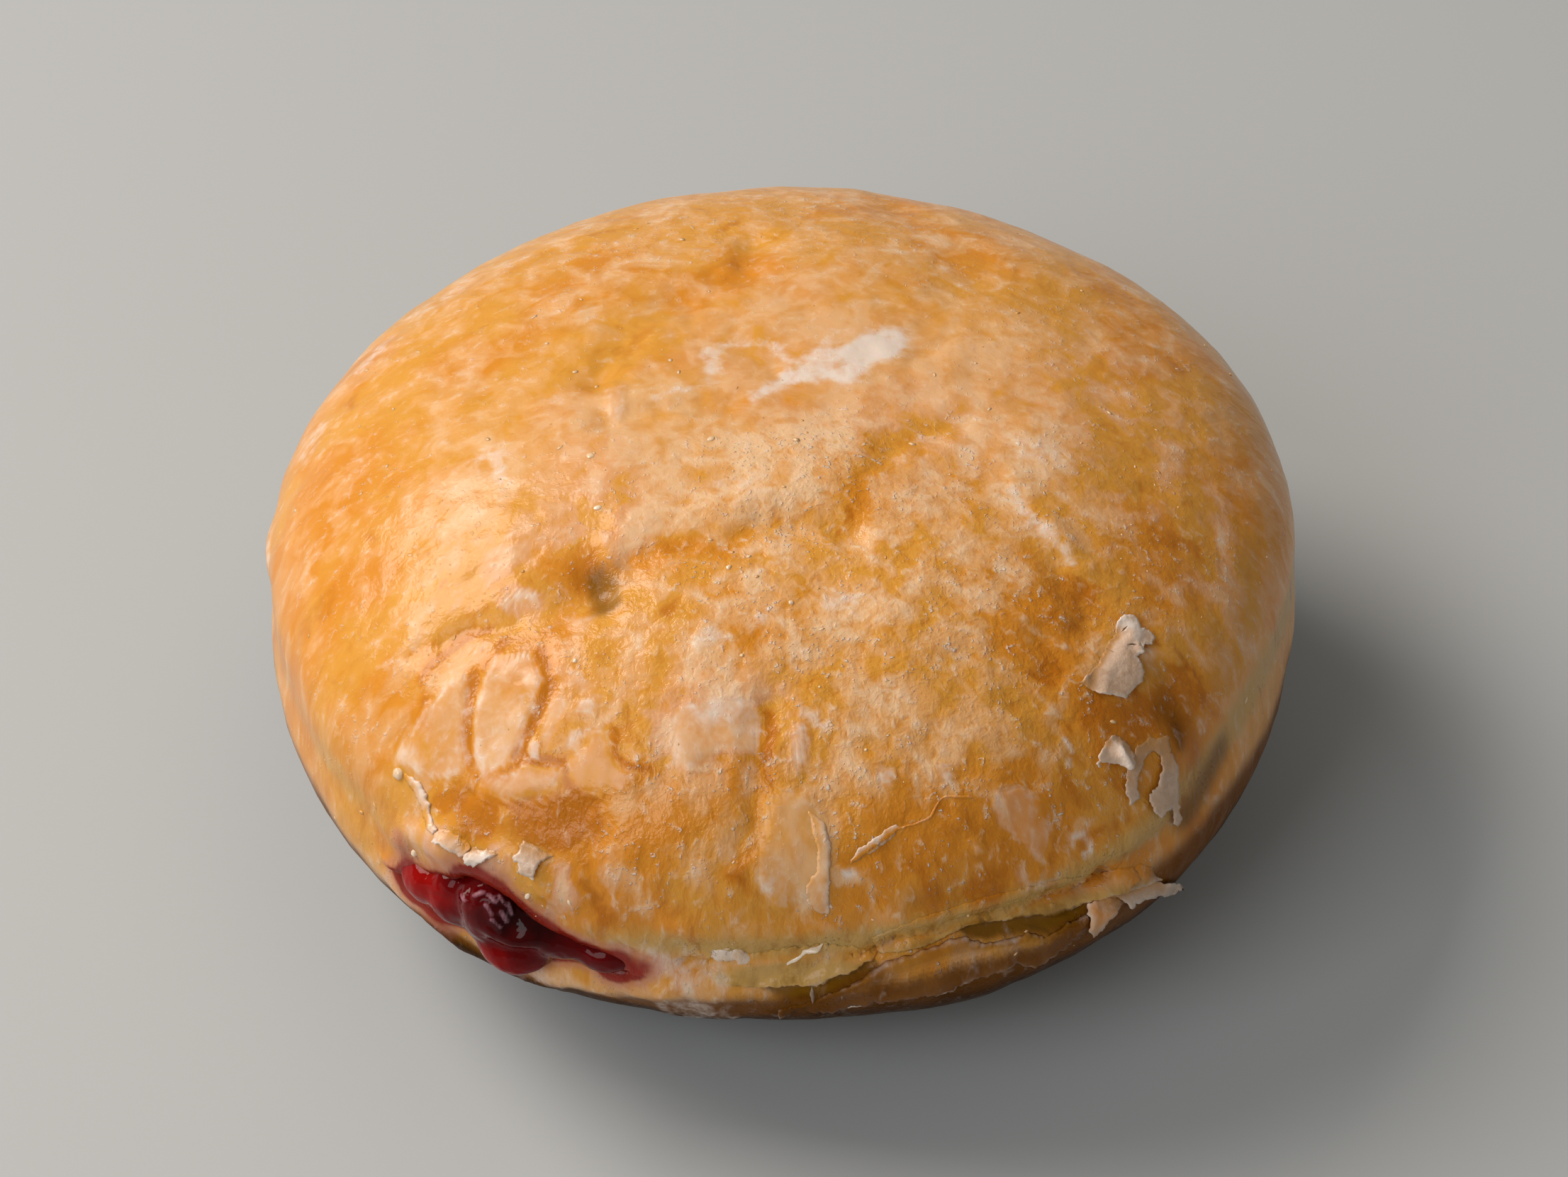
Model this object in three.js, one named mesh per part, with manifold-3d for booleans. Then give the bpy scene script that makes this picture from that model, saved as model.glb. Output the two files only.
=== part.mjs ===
import * as THREE from "three";
import { mergeVertices } from "three/addons/utils/BufferGeometryUtils.js";
import ManifoldModule from "manifold-3d";

// A jam doughnut, in millimetres. It rests on z = 0, and its jam shows at the waist, front left.
// Places on the bun are two angles in degrees: the azimuth is 0 at +X and -90 at the front, and the
// elevation is 0 at the waist and 90 at the top.

// The bun: a fried ball of dough, nearly round from above, that a pale waist divides in two.
const WAIST_RADIUS = 46;
const HEIGHT = 45;
const WAIST_HEIGHT = 22;
const UNDERSIDE_DEPTH = 24;
const FULLNESS = 2.3; // 2 would give ellipses
// How the radius and the height of the waist vary: millimetres, waves in a turn, azimuth of a crest.
const RADIUS_WAVES = [
  [0.4, 1, -32],
  [0.2, 2, 45],
  [0.2, 4, 45],
  [0.35, 5, 18],
];
const HEIGHT_WAVES = [
  [0.7, 1, -20],
  [0.7, 2, 32],
];
const HEIGHT_FADE = 16;

// The pale band round the waist: a shallow hollow that climbs at the right.
const BAND_DEPTH = 0.7;
const BAND_SPREAD = 4.5;
const BAND_ELEVATION = 2;
const BAND_CLIMB = 3.5;
const BAND_CLIMB_AZIMUTH = -28;
const BAND_DIP = 2;
const BAND_DIP_AZIMUTH = -108;
const BAND_TURN_SPREAD = 26;

// Rounded swellings (positive) and pits (negative) of the skin.
const SWELLINGS = [
  { at: [-152, 44], rise: 0.9, spread: 11 },
  { at: [-137, 57], rise: 0.6, spread: 7 },
  { at: [-100, 33], rise: 0.6, spread: 9 },
  { at: [-62, 36], rise: 0.5, spread: 10 },
  { at: [-19, 42], rise: 0.7, spread: 5 },
  { at: [-75, 62], rise: 0.7, spread: 6 },
  { at: [-100, 66], rise: 0.5, spread: 6 },
  { at: [60, 50], rise: 0.5, spread: 12 },
  { at: [125, 30], rise: 0.5, spread: 12 },
  { at: [150, 62], rise: 0.4, spread: 7 },
  { at: [-5, 12], rise: 0.4, spread: 8 },
  { at: [-179, 5], rise: 0.9, spread: 2.4 },
  { at: [-126, 6], rise: 0.7, spread: 2.2 },
  { at: [-124, 36], rise: -1.7, spread: 1.9 },
  { at: [-124, 36], rise: -1, spread: 5 },
  { at: [-112, 13], rise: -0.5, spread: 2.5 },
  { at: [-44, 16], rise: -0.4, spread: 3 },
];

// Creases (depth) and ridges (rise) that run along the skin from place to place.
const FOLDS = [
  {
    rise: -1.2,
    spread: 1.9,
    path: [[-124, 40], [-113, 45], [-100, 48], [-88, 53], [-72, 53], [-64, 54], [-50, 60], [-29, 58], [-16, 50]],
  },
  { rise: -0.8, spread: 1.8, path: [[-157, 56], [-150, 66], [-139, 75]] },
  { rise: -0.8, spread: 2.1, path: [[176, 55], [146, 56], [124, 58], [101, 55], [95, 46]] },
  { rise: -0.8, spread: 2.4, path: [[-124, 36], [-126, 30], [-135, 24]] },
  { rise: -0.6, spread: 1.3, path: [[-91, 27], [-92, 20], [-94, 13]] },
  { rise: 0.4, spread: 1.2, path: [[-32, 43], [-37, 31]] },
  { rise: -0.6, spread: 2, path: [[-39, 31], [-42, 26], [-50, 25]] },
  { rise: -0.5, spread: 3, path: [[20, 62], [45, 40], [70, 30]] },
  // The lips of the mouth that the jam comes out of.
  { rise: 0.9, spread: 1.7, path: [[-133, 2], [-128, 5], [-122, 7.5], [-116, 7], [-110, 3.5], [-103, 0.5]] },
  { rise: 0.8, spread: 1.8, path: [[-133, -5], [-127, -7.5], [-120, -11], [-114, -9], [-108, -7], [-102, -6]] },
  // The skirt of the dome over the hollow at the front right, and the ledge below it.
  { rise: 0.8, spread: 1.6, path: [[-100, 4], [-90, 3.5], [-80, 4.5], [-68, 5.5], [-58, 5], [-47, 5]] },
  { rise: 0.6, spread: 1.5, path: [[-100, -5], [-88, -5], [-76, -3], [-64, -2.5], [-54, -3]] },
];

// Slits between the skirt and the ledge.
const SLITS = [
  { width: 1.7, depth: 2, path: [[-79, 0.5], [-73, 1.2], [-66, 2], [-60, 1.8], [-54, 1]] },
  { width: 1.2, depth: 1.3, path: [[-92, -2.6], [-87, -1.8], [-81, 0.2]] },
  { width: 1, depth: 1.1, path: [[-100, -1.6], [-96, -2.2], [-92, -3.2]] },
];

// Curled rims of dried glaze that stand up from the skin.
const RIMS = [
  { width: 0.9, height: 0.8, path: [[-133.5, 10.5], [-131, 10.2], [-129, 8.8], [-128, 7], [-126, 6.2]] },
  { width: 1.5, height: 0.9, path: [[-127, 6.4], [-124, 6.2], [-122, 6.6], [-120, 7.4]] },
  { width: 0.8, height: 0.6, path: [[-82, 12], [-78, 14], [-75, 15], [-72, 16.5]] },
  { width: 0.9, height: 0.6, path: [[-84, 14], [-84.5, 10], [-85.5, 6]] },
  { width: 1.1, height: 0.9, path: [[-91, -1], [-88.5, 0.6], [-86, 2]] },
  { width: 1.8, height: 0.9, path: [[-97.5, 0.6], [-95, 1.2], [-92, 0.8]] },
  { width: 1.4, height: 0.8, path: [[-103, -3.5], [-100.5, -3.8], [-98, -4]] },
];

// Flakes of dried glaze: each outline is in millimetres, rightwards and up the skin from its place.
const FLAKE_SINK = 0.8;
const FLAKES = [
  {
    at: [-43.5, 21],
    lift: 0.7,
    outline: [[-4.5, 0.9], [-2.1, -2.3], [0, -2.4], [1, -0.4], [3, -0.5], [3.5, 1.6], [2.6, 2.9], [-0.3, 2.3], [-2.2, 1]],
  },
  { at: [-51, 14], lift: 0.9, outline: [[-2, 0.1], [-1.9, 0.8], [1.2, 1.5], [2.2, -0.1], [0.9, -1.2], [-0.9, 0.2]] },
  { at: [-49, 11.5], lift: 0.7, outline: [[1.9, 1.3], [1, 2], [-1.9, -1.4], [-1.2, -2.1], [0.3, 0.1]] },
  {
    at: [-46, 9],
    lift: 0.7,
    outline: [[0, 3.9], [1.9, 3.5], [1.3, 0.2], [0.2, -2.2], [0, -3.6], [-0.5, -3.6], [-0.4, -2], [-1.6, -2.3], [-2.4, 0.2], [-0.4, 1.4]],
  },
  { at: [-116, 8.5], lift: 0.8, outline: [[-1.4, 0], [-1, 1.4], [1.6, 1], [1, 0.2], [0.4, -1.7], [-0.6, -1.2]] },
  {
    at: [-50.5, 0],
    lift: 0.9,
    outline: [[-5.6, 1.4], [-2.5, 2.2], [1.6, 2], [3.4, 1.2], [5.6, 1.3], [5.4, 0.7], [2.6, -0.4], [-1, -1.2], [-4.4, -2.6], [-5.4, -2.4]],
  },
];

// The jam: a pocket in the middle, a neck to the skin, and lobes that swell out of the mouth. Sizes
// are half-widths: along the waist, up, and outwards. Inset is the depth of the centre under the skin.
const POCKET = { centre: [-4, -6, 21], size: [19, 19, 6] };
const LOBES = [
  { at: [-118.5, -1], inset: 13, size: [8.5, 2.8, 15] },
  { at: [-127, -0.8], inset: 1.2, size: [2.9, 1.9, 2.4] },
  { at: [-121.5, -0.8], inset: 1.4, size: [3.4, 2.8, 2.7] },
  { at: [-117.5, -3.6], inset: 0.5, size: [3.6, 2.3, 2.8] },
  { at: [-112, -1.2], inset: 1.6, size: [3.8, 1.5, 2.3] },
  { at: [-107.5, -2.6], inset: 0.8, size: [2.5, 1.2, 1.6] },
];
const JAM_GAP = 0.3;
// The dark slot that is left open between the jam and the upper lip.
const SLOT = { at: [-118, 2.6], inset: 2.2, size: [8.5, 1.7, 4.5] };

// Facets: the skin is finer towards the front, where it is most uneven.
const SKIN_DETAIL = 18;
const FINE_TOWARDS = new THREE.Vector3(-0.05, -0.17, 0.08);
const LOBE_SIDES = 18;
const POCKET_SIDES = 20;
const FOLD_SIDES = 6;

const wasm = await ManifoldModule();
wasm.setup();

const radians = THREE.MathUtils.degToRad;

/** Falls from 1 at a distance of 0 towards 0 past the spread. */
function bell(distance, spread) {
  return Math.exp(-((distance / spread) ** 2));
}

/** An angle in degrees, brought to between -180 and 180. */
function turn(angle) {
  return THREE.MathUtils.euclideanModulo(angle + 180, 360) - 180;
}

function waves(terms, azimuth) {
  return terms.reduce((sum, [rise, count, crest]) => sum + rise * Math.cos(radians(count * (azimuth - crest))), 0);
}

/** The smooth skin at a place: its point, and the outward, rightward and upward directions there. */
function skinAt([azimuth, elevation]) {
  const radius = WAIST_RADIUS + waves(RADIUS_WAVES, azimuth);
  const half = elevation > 0 ? HEIGHT - WAIST_HEIGHT : UNDERSIDE_DEPTH;
  const level = Math.cos(radians(elevation));
  const steep = Math.sin(radians(elevation));
  const reach = ((level / radius) ** FULLNESS + (Math.abs(steep) / half) ** FULLNESS) ** (-1 / FULLNESS);
  const out = reach * level;
  const up = reach * steep;
  const east = Math.cos(radians(azimuth));
  const north = Math.sin(radians(azimuth));
  const lifted = up + waves(HEIGHT_WAVES, azimuth) * bell(up, HEIGHT_FADE);
  const outward = out ** (FULLNESS - 1) / radius ** FULLNESS;
  const upward = (Math.sign(up) * Math.abs(up) ** (FULLNESS - 1)) / half ** FULLNESS;
  const normal = new THREE.Vector3(outward * east, outward * north, upward).normalize();
  const right = new THREE.Vector3(-north, east, 0);
  return {
    point: new THREE.Vector3(out * east, out * north, lifted + WAIST_HEIGHT),
    normal,
    right,
    above: new THREE.Vector3().crossVectors(normal, right),
  };
}

/** The elevation of the middle of the pale band. */
function bandElevation(azimuth) {
  return (
    BAND_ELEVATION +
    BAND_CLIMB * bell(turn(azimuth - BAND_CLIMB_AZIMUTH), BAND_TURN_SPREAD) -
    BAND_DIP * bell(turn(azimuth - BAND_DIP_AZIMUTH), BAND_TURN_SPREAD)
  );
}

const swellings = SWELLINGS.map((swelling) => ({ ...swelling, point: skinAt(swelling.at).point }));
const folds = FOLDS.map((fold) => {
  const points = fold.path.map((place) => skinAt(place).point);
  return { ...fold, lines: points.slice(1).map((end, i) => new THREE.Line3(points[i], end)) };
});

/** How far the real skin stands out from the smooth one. */
function unevenness(point, azimuth, elevation) {
  const nearest = new THREE.Vector3();
  let rise = -BAND_DEPTH * bell(elevation - bandElevation(azimuth), BAND_SPREAD);
  for (const swelling of swellings) {
    rise += swelling.rise * bell(point.distanceTo(swelling.point), swelling.spread);
  }
  for (const fold of folds) {
    const distances = fold.lines.map((line) => line.closestPointToPoint(point, true, nearest).distanceTo(point));
    rise += fold.rise * bell(Math.min(...distances), fold.spread);
  }
  return rise;
}

function toSolid(geometry) {
  const bare = geometry.clone();
  bare.deleteAttribute("normal");
  bare.deleteAttribute("uv");
  const merged = mergeVertices(bare, 1e-4);
  const triVerts = new Uint32Array(merged.index.array);
  const vertProperties = new Float32Array(merged.attributes.position.array);
  return new wasm.Manifold(new wasm.Mesh({ numProp: 3, vertProperties, triVerts }));
}

function toMesh(name, solid, material) {
  const made = solid.getMesh();
  const geometry = new THREE.BufferGeometry();
  geometry.setAttribute("position", new THREE.BufferAttribute(made.vertProperties, 3));
  geometry.setIndex(new THREE.BufferAttribute(made.triVerts, 1));
  const mesh = new THREE.Mesh(geometry, material);
  mesh.name = name;
  return mesh;
}

/** The whole bun before anything is cut from it or laid on it. */
function makeBun() {
  const geometry = mergeVertices(bareSphere());
  const positions = geometry.attributes.position;
  const direction = new THREE.Vector3();
  for (let i = 0; i < positions.count; i++) {
    direction.fromBufferAttribute(positions, i).normalize().add(FINE_TOWARDS).normalize();
    const azimuth = THREE.MathUtils.radToDeg(Math.atan2(direction.y, direction.x));
    const elevation = THREE.MathUtils.radToDeg(Math.asin(direction.z));
    const { point, normal } = skinAt([azimuth, elevation]);
    point.addScaledVector(normal, unevenness(point, azimuth, elevation));
    positions.setXYZ(i, point.x, point.y, Math.max(point.z, 0));
  }
  return toSolid(geometry);
}

function bareSphere() {
  const sphere = new THREE.IcosahedronGeometry(1, SKIN_DETAIL);
  sphere.deleteAttribute("normal");
  sphere.deleteAttribute("uv");
  return sphere;
}

/** A tapering cord with an oval section that lies along the skin, half of it sunk in. */
function makeCord({ path, width, height }) {
  const curve = new THREE.CatmullRomCurve3(path.map(([azimuth, elevation]) => new THREE.Vector3(azimuth, elevation, 0)));
  const stations = path.length * 2;
  const positions = [];
  const index = [];
  for (let i = 0; i <= stations; i++) {
    const along = i / stations;
    const place = curve.getPoint(along);
    const ahead = skinAt(curve.getPoint(Math.min(along + 0.02, 1)).toArray()).point;
    const behind = skinAt(curve.getPoint(Math.max(along - 0.02, 0)).toArray()).point;
    const { point, normal } = skinAt([place.x, place.y]);
    const across = new THREE.Vector3().crossVectors(normal, ahead.sub(behind)).normalize();
    const base = point.clone().addScaledVector(normal, unevenness(point, place.x, place.y));
    const taper = 0.25 + 0.75 * Math.sqrt(Math.sin(Math.PI * along));
    for (let j = 0; j < FOLD_SIDES; j++) {
      const angle = (2 * Math.PI * j) / FOLD_SIDES;
      const corner = base.clone().addScaledVector(across, (width / 2) * taper * Math.cos(angle));
      corner.addScaledVector(normal, height * taper * Math.sin(angle));
      positions.push(...corner.toArray());
      const next = (j + 1) % FOLD_SIDES;
      const row = i * FOLD_SIDES;
      if (i < stations) {
        index.push(row + j, row + next, row + FOLD_SIDES + j);
        index.push(row + next, row + FOLD_SIDES + next, row + FOLD_SIDES + j);
      }
    }
  }
  for (let j = 1; j < FOLD_SIDES - 1; j++) {
    const last = stations * FOLD_SIDES;
    index.push(0, j + 1, j);
    index.push(last, last + j, last + j + 1);
  }
  const geometry = new THREE.BufferGeometry();
  geometry.setAttribute("position", new THREE.Float32BufferAttribute(positions, 3));
  geometry.setIndex(index);
  const solid = toSolid(geometry);
  return solid.volume() > 0 ? solid : turnInsideOut(geometry);
}

function turnInsideOut(geometry) {
  const index = Array.from(geometry.index.array);
  for (let i = 0; i < index.length; i += 3) {
    [index[i], index[i + 1]] = [index[i + 1], index[i]];
  }
  return toSolid(geometry.clone().setIndex(index));
}

/** A thin plate with an irregular outline, set into the skin. */
function makeFlake({ at, lift, outline }) {
  const { point, normal, right, above } = skinAt(at);
  const shape = new THREE.Shape(outline.map(([u, v]) => new THREE.Vector2(u, v)));
  const plate = new THREE.ExtrudeGeometry(shape, { depth: FLAKE_SINK + lift, bevelEnabled: false });
  const rise = unevenness(point, ...at) - FLAKE_SINK;
  const place = new THREE.Matrix4().makeBasis(right, above, normal);
  place.setPosition(point.addScaledVector(normal, rise));
  return toSolid(plate.applyMatrix4(place));
}

/** A rounded blob of jam by the skin, its axes along the waist, upwards and outwards. */
function makeLobe({ at, inset, size }, grow = 0) {
  const { point, normal, right, above } = skinAt(at);
  const lobe = new THREE.SphereGeometry(1, LOBE_SIDES, LOBE_SIDES / 2);
  lobe.scale(...size.map((half) => half + grow));
  const place = new THREE.Matrix4().makeBasis(right, above, normal);
  place.setPosition(point.addScaledVector(normal, -inset));
  return toSolid(lobe.applyMatrix4(place));
}

/** All the jam, or with a grow the room that it takes in the dough. */
function makeJam(grow = 0) {
  const pocket = new THREE.SphereGeometry(1, POCKET_SIDES, POCKET_SIDES / 2);
  pocket.scale(...POCKET.size.map((half) => half + grow));
  pocket.translate(...POCKET.centre);
  return LOBES.reduce((jam, lobe) => jam.add(makeLobe(lobe, grow)), toSolid(pocket));
}

const room = makeJam(JAM_GAP).add(makeLobe(SLOT));
let dough = makeBun();
for (const slit of SLITS) {
  dough = dough.subtract(makeCord({ ...slit, height: slit.depth }));
}
for (const rim of RIMS) {
  dough = dough.add(makeCord(rim));
}
for (const flake of FLAKES) {
  dough = dough.add(makeFlake(flake));
}
dough = dough.subtract(room);

const crust = new THREE.MeshStandardMaterial({ color: 0xc98a3f, roughness: 0.45 });
const filling = new THREE.MeshStandardMaterial({ color: 0x5a0806, roughness: 0.15 });

const doughnut = new THREE.Group();
doughnut.name = "jam_doughnut";
doughnut.add(toMesh("dough", dough, crust), toMesh("jam", makeJam(), filling));

export default doughnut;
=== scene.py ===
"""A glazed jam doughnut on a pale floor: crust, flakes and rims of dried glaze, sugar grains and jam."""

import logging
import math
import random
from collections import Counter
from dataclasses import dataclass, field
from enum import Enum

import bpy
import numpy as np
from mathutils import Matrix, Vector, noise
from mathutils.bvhtree import BVHTree
from mathutils.geometry import delaunay_2d_cdt


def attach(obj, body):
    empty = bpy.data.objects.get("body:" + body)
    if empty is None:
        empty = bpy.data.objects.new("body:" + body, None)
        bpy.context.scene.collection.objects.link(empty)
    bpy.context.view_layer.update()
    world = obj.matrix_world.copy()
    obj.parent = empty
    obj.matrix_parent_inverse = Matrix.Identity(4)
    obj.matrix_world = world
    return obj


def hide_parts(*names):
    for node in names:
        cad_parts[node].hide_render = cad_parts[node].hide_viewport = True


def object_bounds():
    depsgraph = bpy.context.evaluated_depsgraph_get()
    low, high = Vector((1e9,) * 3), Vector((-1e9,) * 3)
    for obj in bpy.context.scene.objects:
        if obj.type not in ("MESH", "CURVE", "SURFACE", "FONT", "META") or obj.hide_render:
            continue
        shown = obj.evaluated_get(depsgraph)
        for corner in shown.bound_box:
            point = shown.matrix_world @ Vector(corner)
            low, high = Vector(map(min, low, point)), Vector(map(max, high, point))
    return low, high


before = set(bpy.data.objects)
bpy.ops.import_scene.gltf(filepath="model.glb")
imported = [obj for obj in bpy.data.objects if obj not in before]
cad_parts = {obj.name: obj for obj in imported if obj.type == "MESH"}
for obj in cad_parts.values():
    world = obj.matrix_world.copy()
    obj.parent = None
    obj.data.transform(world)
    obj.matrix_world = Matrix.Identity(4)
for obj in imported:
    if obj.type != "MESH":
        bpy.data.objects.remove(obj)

CAD_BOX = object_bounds()
MM = 0.001
PIXEL = 0.0634  # millimetres of crust that a pixel of the photograph covers, seen square on
MARGIN = 40  # pixels round a patch in which its edge can still be felt
log = logging.getLogger("doughnut")

Place = tuple[float, float]
Pixel = tuple[float, float]
Size = tuple[float, float, float]
Socket = bpy.types.NodeSocket


class Layer(Enum):
    """What the materials read at every vertex of a piece."""

    # A low film also stands for painted shade, deeper orange in hollows and under the lifted plates.
    FILM = "film"  # the clear glaze: -1 where the crust is bare, 1 where it is thick and tan
    WAIST = "waist"  # the pale band that the hot oil never reached
    # The toast layer holds both darker frying and painted shade: under the ledges, at the foot, on the
    # underside and in the dimple.
    TOAST = "toast"  # how much darker the crust is fried
    STAIN = "stain"  # jam that has soaked into the crust
    # The white layer also holds painted sheen and glints on the crust, and painted highlights on the jam's
    # crests.
    WHITE = "white"  # dried glaze so thick that it is white
    BLISTER = "blister"  # how rough and blistered the surface is
    PINK = "pink"  # glaze that looks rosy over the browned crust
    # The hollow layer is painted olive shade: in the gaps under the ledges of the waist, in the dimple and
    # along the right.
    HOLLOW = "hollow"  # olive dough in the gaps under the ledges of the waist


class Finish(Enum):
    """The finishes of the doughnut's pieces."""

    CRUST = "crust"
    SKIN = "skin"
    CURL = "curl"
    SUGAR = "sugar"
    JAM = "jam"


def bell(distance: np.ndarray | float, spread: float) -> np.ndarray | float:
    """Falls from 1 towards 0 with distance.

    Args:
        distance: How far away, in the unit of the spread.
        spread: The distance at which about a third is left.

    Returns:
        The height of the bell at each distance.
    """
    return np.exp(-((distance / spread) ** 2))


def ramp(value: np.ndarray | float, low: float, high: float) -> np.ndarray | float:
    """Climbs smoothly from 0 at low to 1 at high.

    Args:
        value: The numbers to map.
        low: Where the ramp starts.
        high: Where the ramp ends; it may be the lower of the two.

    Returns:
        Numbers from 0 to 1.
    """
    share = np.clip((value - low) / (high - low), 0, 1)
    return share * share * (3 - 2 * share)


def wrap(angle: np.ndarray | float) -> np.ndarray | float:
    """An angle in degrees brought to between -180 and 180."""
    return (angle + 180) % 360 - 180


def fractal(points: np.ndarray, size: float, seed: float, octaves: int = 4) -> np.ndarray:
    """Soft random lumps.

    Args:
        points: Places in millimetres, one in each row.
        size: The size of the largest lumps, in millimetres.
        seed: Moves the pattern.
        octaves: How many finer sizes are added.

    Returns:
        Heights of about -1 to 1.
    """
    shifted = points / size + seed
    return np.array([noise.fractal(Vector(p), 1.0, 2.0, octaves) for p in shifted])


def near_line(points: np.ndarray, line: np.ndarray) -> np.ndarray:
    """How far points are from a line of straight runs.

    Args:
        points: Places, one in each row.
        line: The line's corners, one in each row; one corner alone is a spot.

    Returns:
        The distances.
    """
    if len(line) == 1:
        return np.linalg.norm(points - line[0], axis=1)
    nearest = np.full(len(points), 1e9)
    for start, end in zip(line[:-1], line[1:]):
        along = end - start
        share = np.clip((points - start) @ along / max(along @ along, 1e-12), 0, 1)
        nearest = np.minimum(nearest, np.linalg.norm(points - start - share[:, None] * along, axis=1))
    return nearest


def inside(points: np.ndarray, corners: np.ndarray) -> np.ndarray:
    """Which points lie inside a flat outline.

    Args:
        points: Places across and down, one in each row.
        corners: The corners of the outline, one in each row.

    Returns:
        True for each point that is inside.
    """
    odd = np.zeros(len(points), bool)
    for (x0, y0), (x1, y1) in zip(corners, np.roll(corners, -1, 0)):
        crosses = (y0 > points[:, 1]) != (y1 > points[:, 1])
        odd ^= crosses & (points[:, 0] < x0 + (points[:, 1] - y0) * (x1 - x0) / ((y1 - y0) or 1e-9))
    return odd


def snug(points: np.ndarray, room: float = 0.6, spare: float = 0.1) -> np.ndarray:
    """Eases the highest places in, so that nothing stands out of the solid's box.

    Args:
        points: Places in millimetres, one in each row.
        room: How far inside the box the easing starts.
        spare: How far inside the box it ends.

    Returns:
        The places, all inside the box.
    """
    low, high = (np.array(corner) / MM for corner in CAD_BOX)
    for sign, limit in ((1, high), (-1, -low)):
        past = np.maximum(sign * points - (limit - spare - room), 0)
        past[:, 2] *= sign > 0
        points = points - sign * (past - room * (1 - np.exp(-past / room)))
    return points


@dataclass(frozen=True)
class Swelling:
    """A rounded rise of the crust, or a pit where the rise is negative."""

    place: Place
    rise: float
    spread: float


@dataclass(frozen=True)
class Fold:
    """A ridge, or a crease where the rise is negative, from place to place along the crust."""

    rise: float
    spread: float
    path: tuple[Place, ...]


@dataclass(frozen=True)
class Wave:
    """One wave of a height round the waist."""

    rise: float
    count: int
    crest: float


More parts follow.
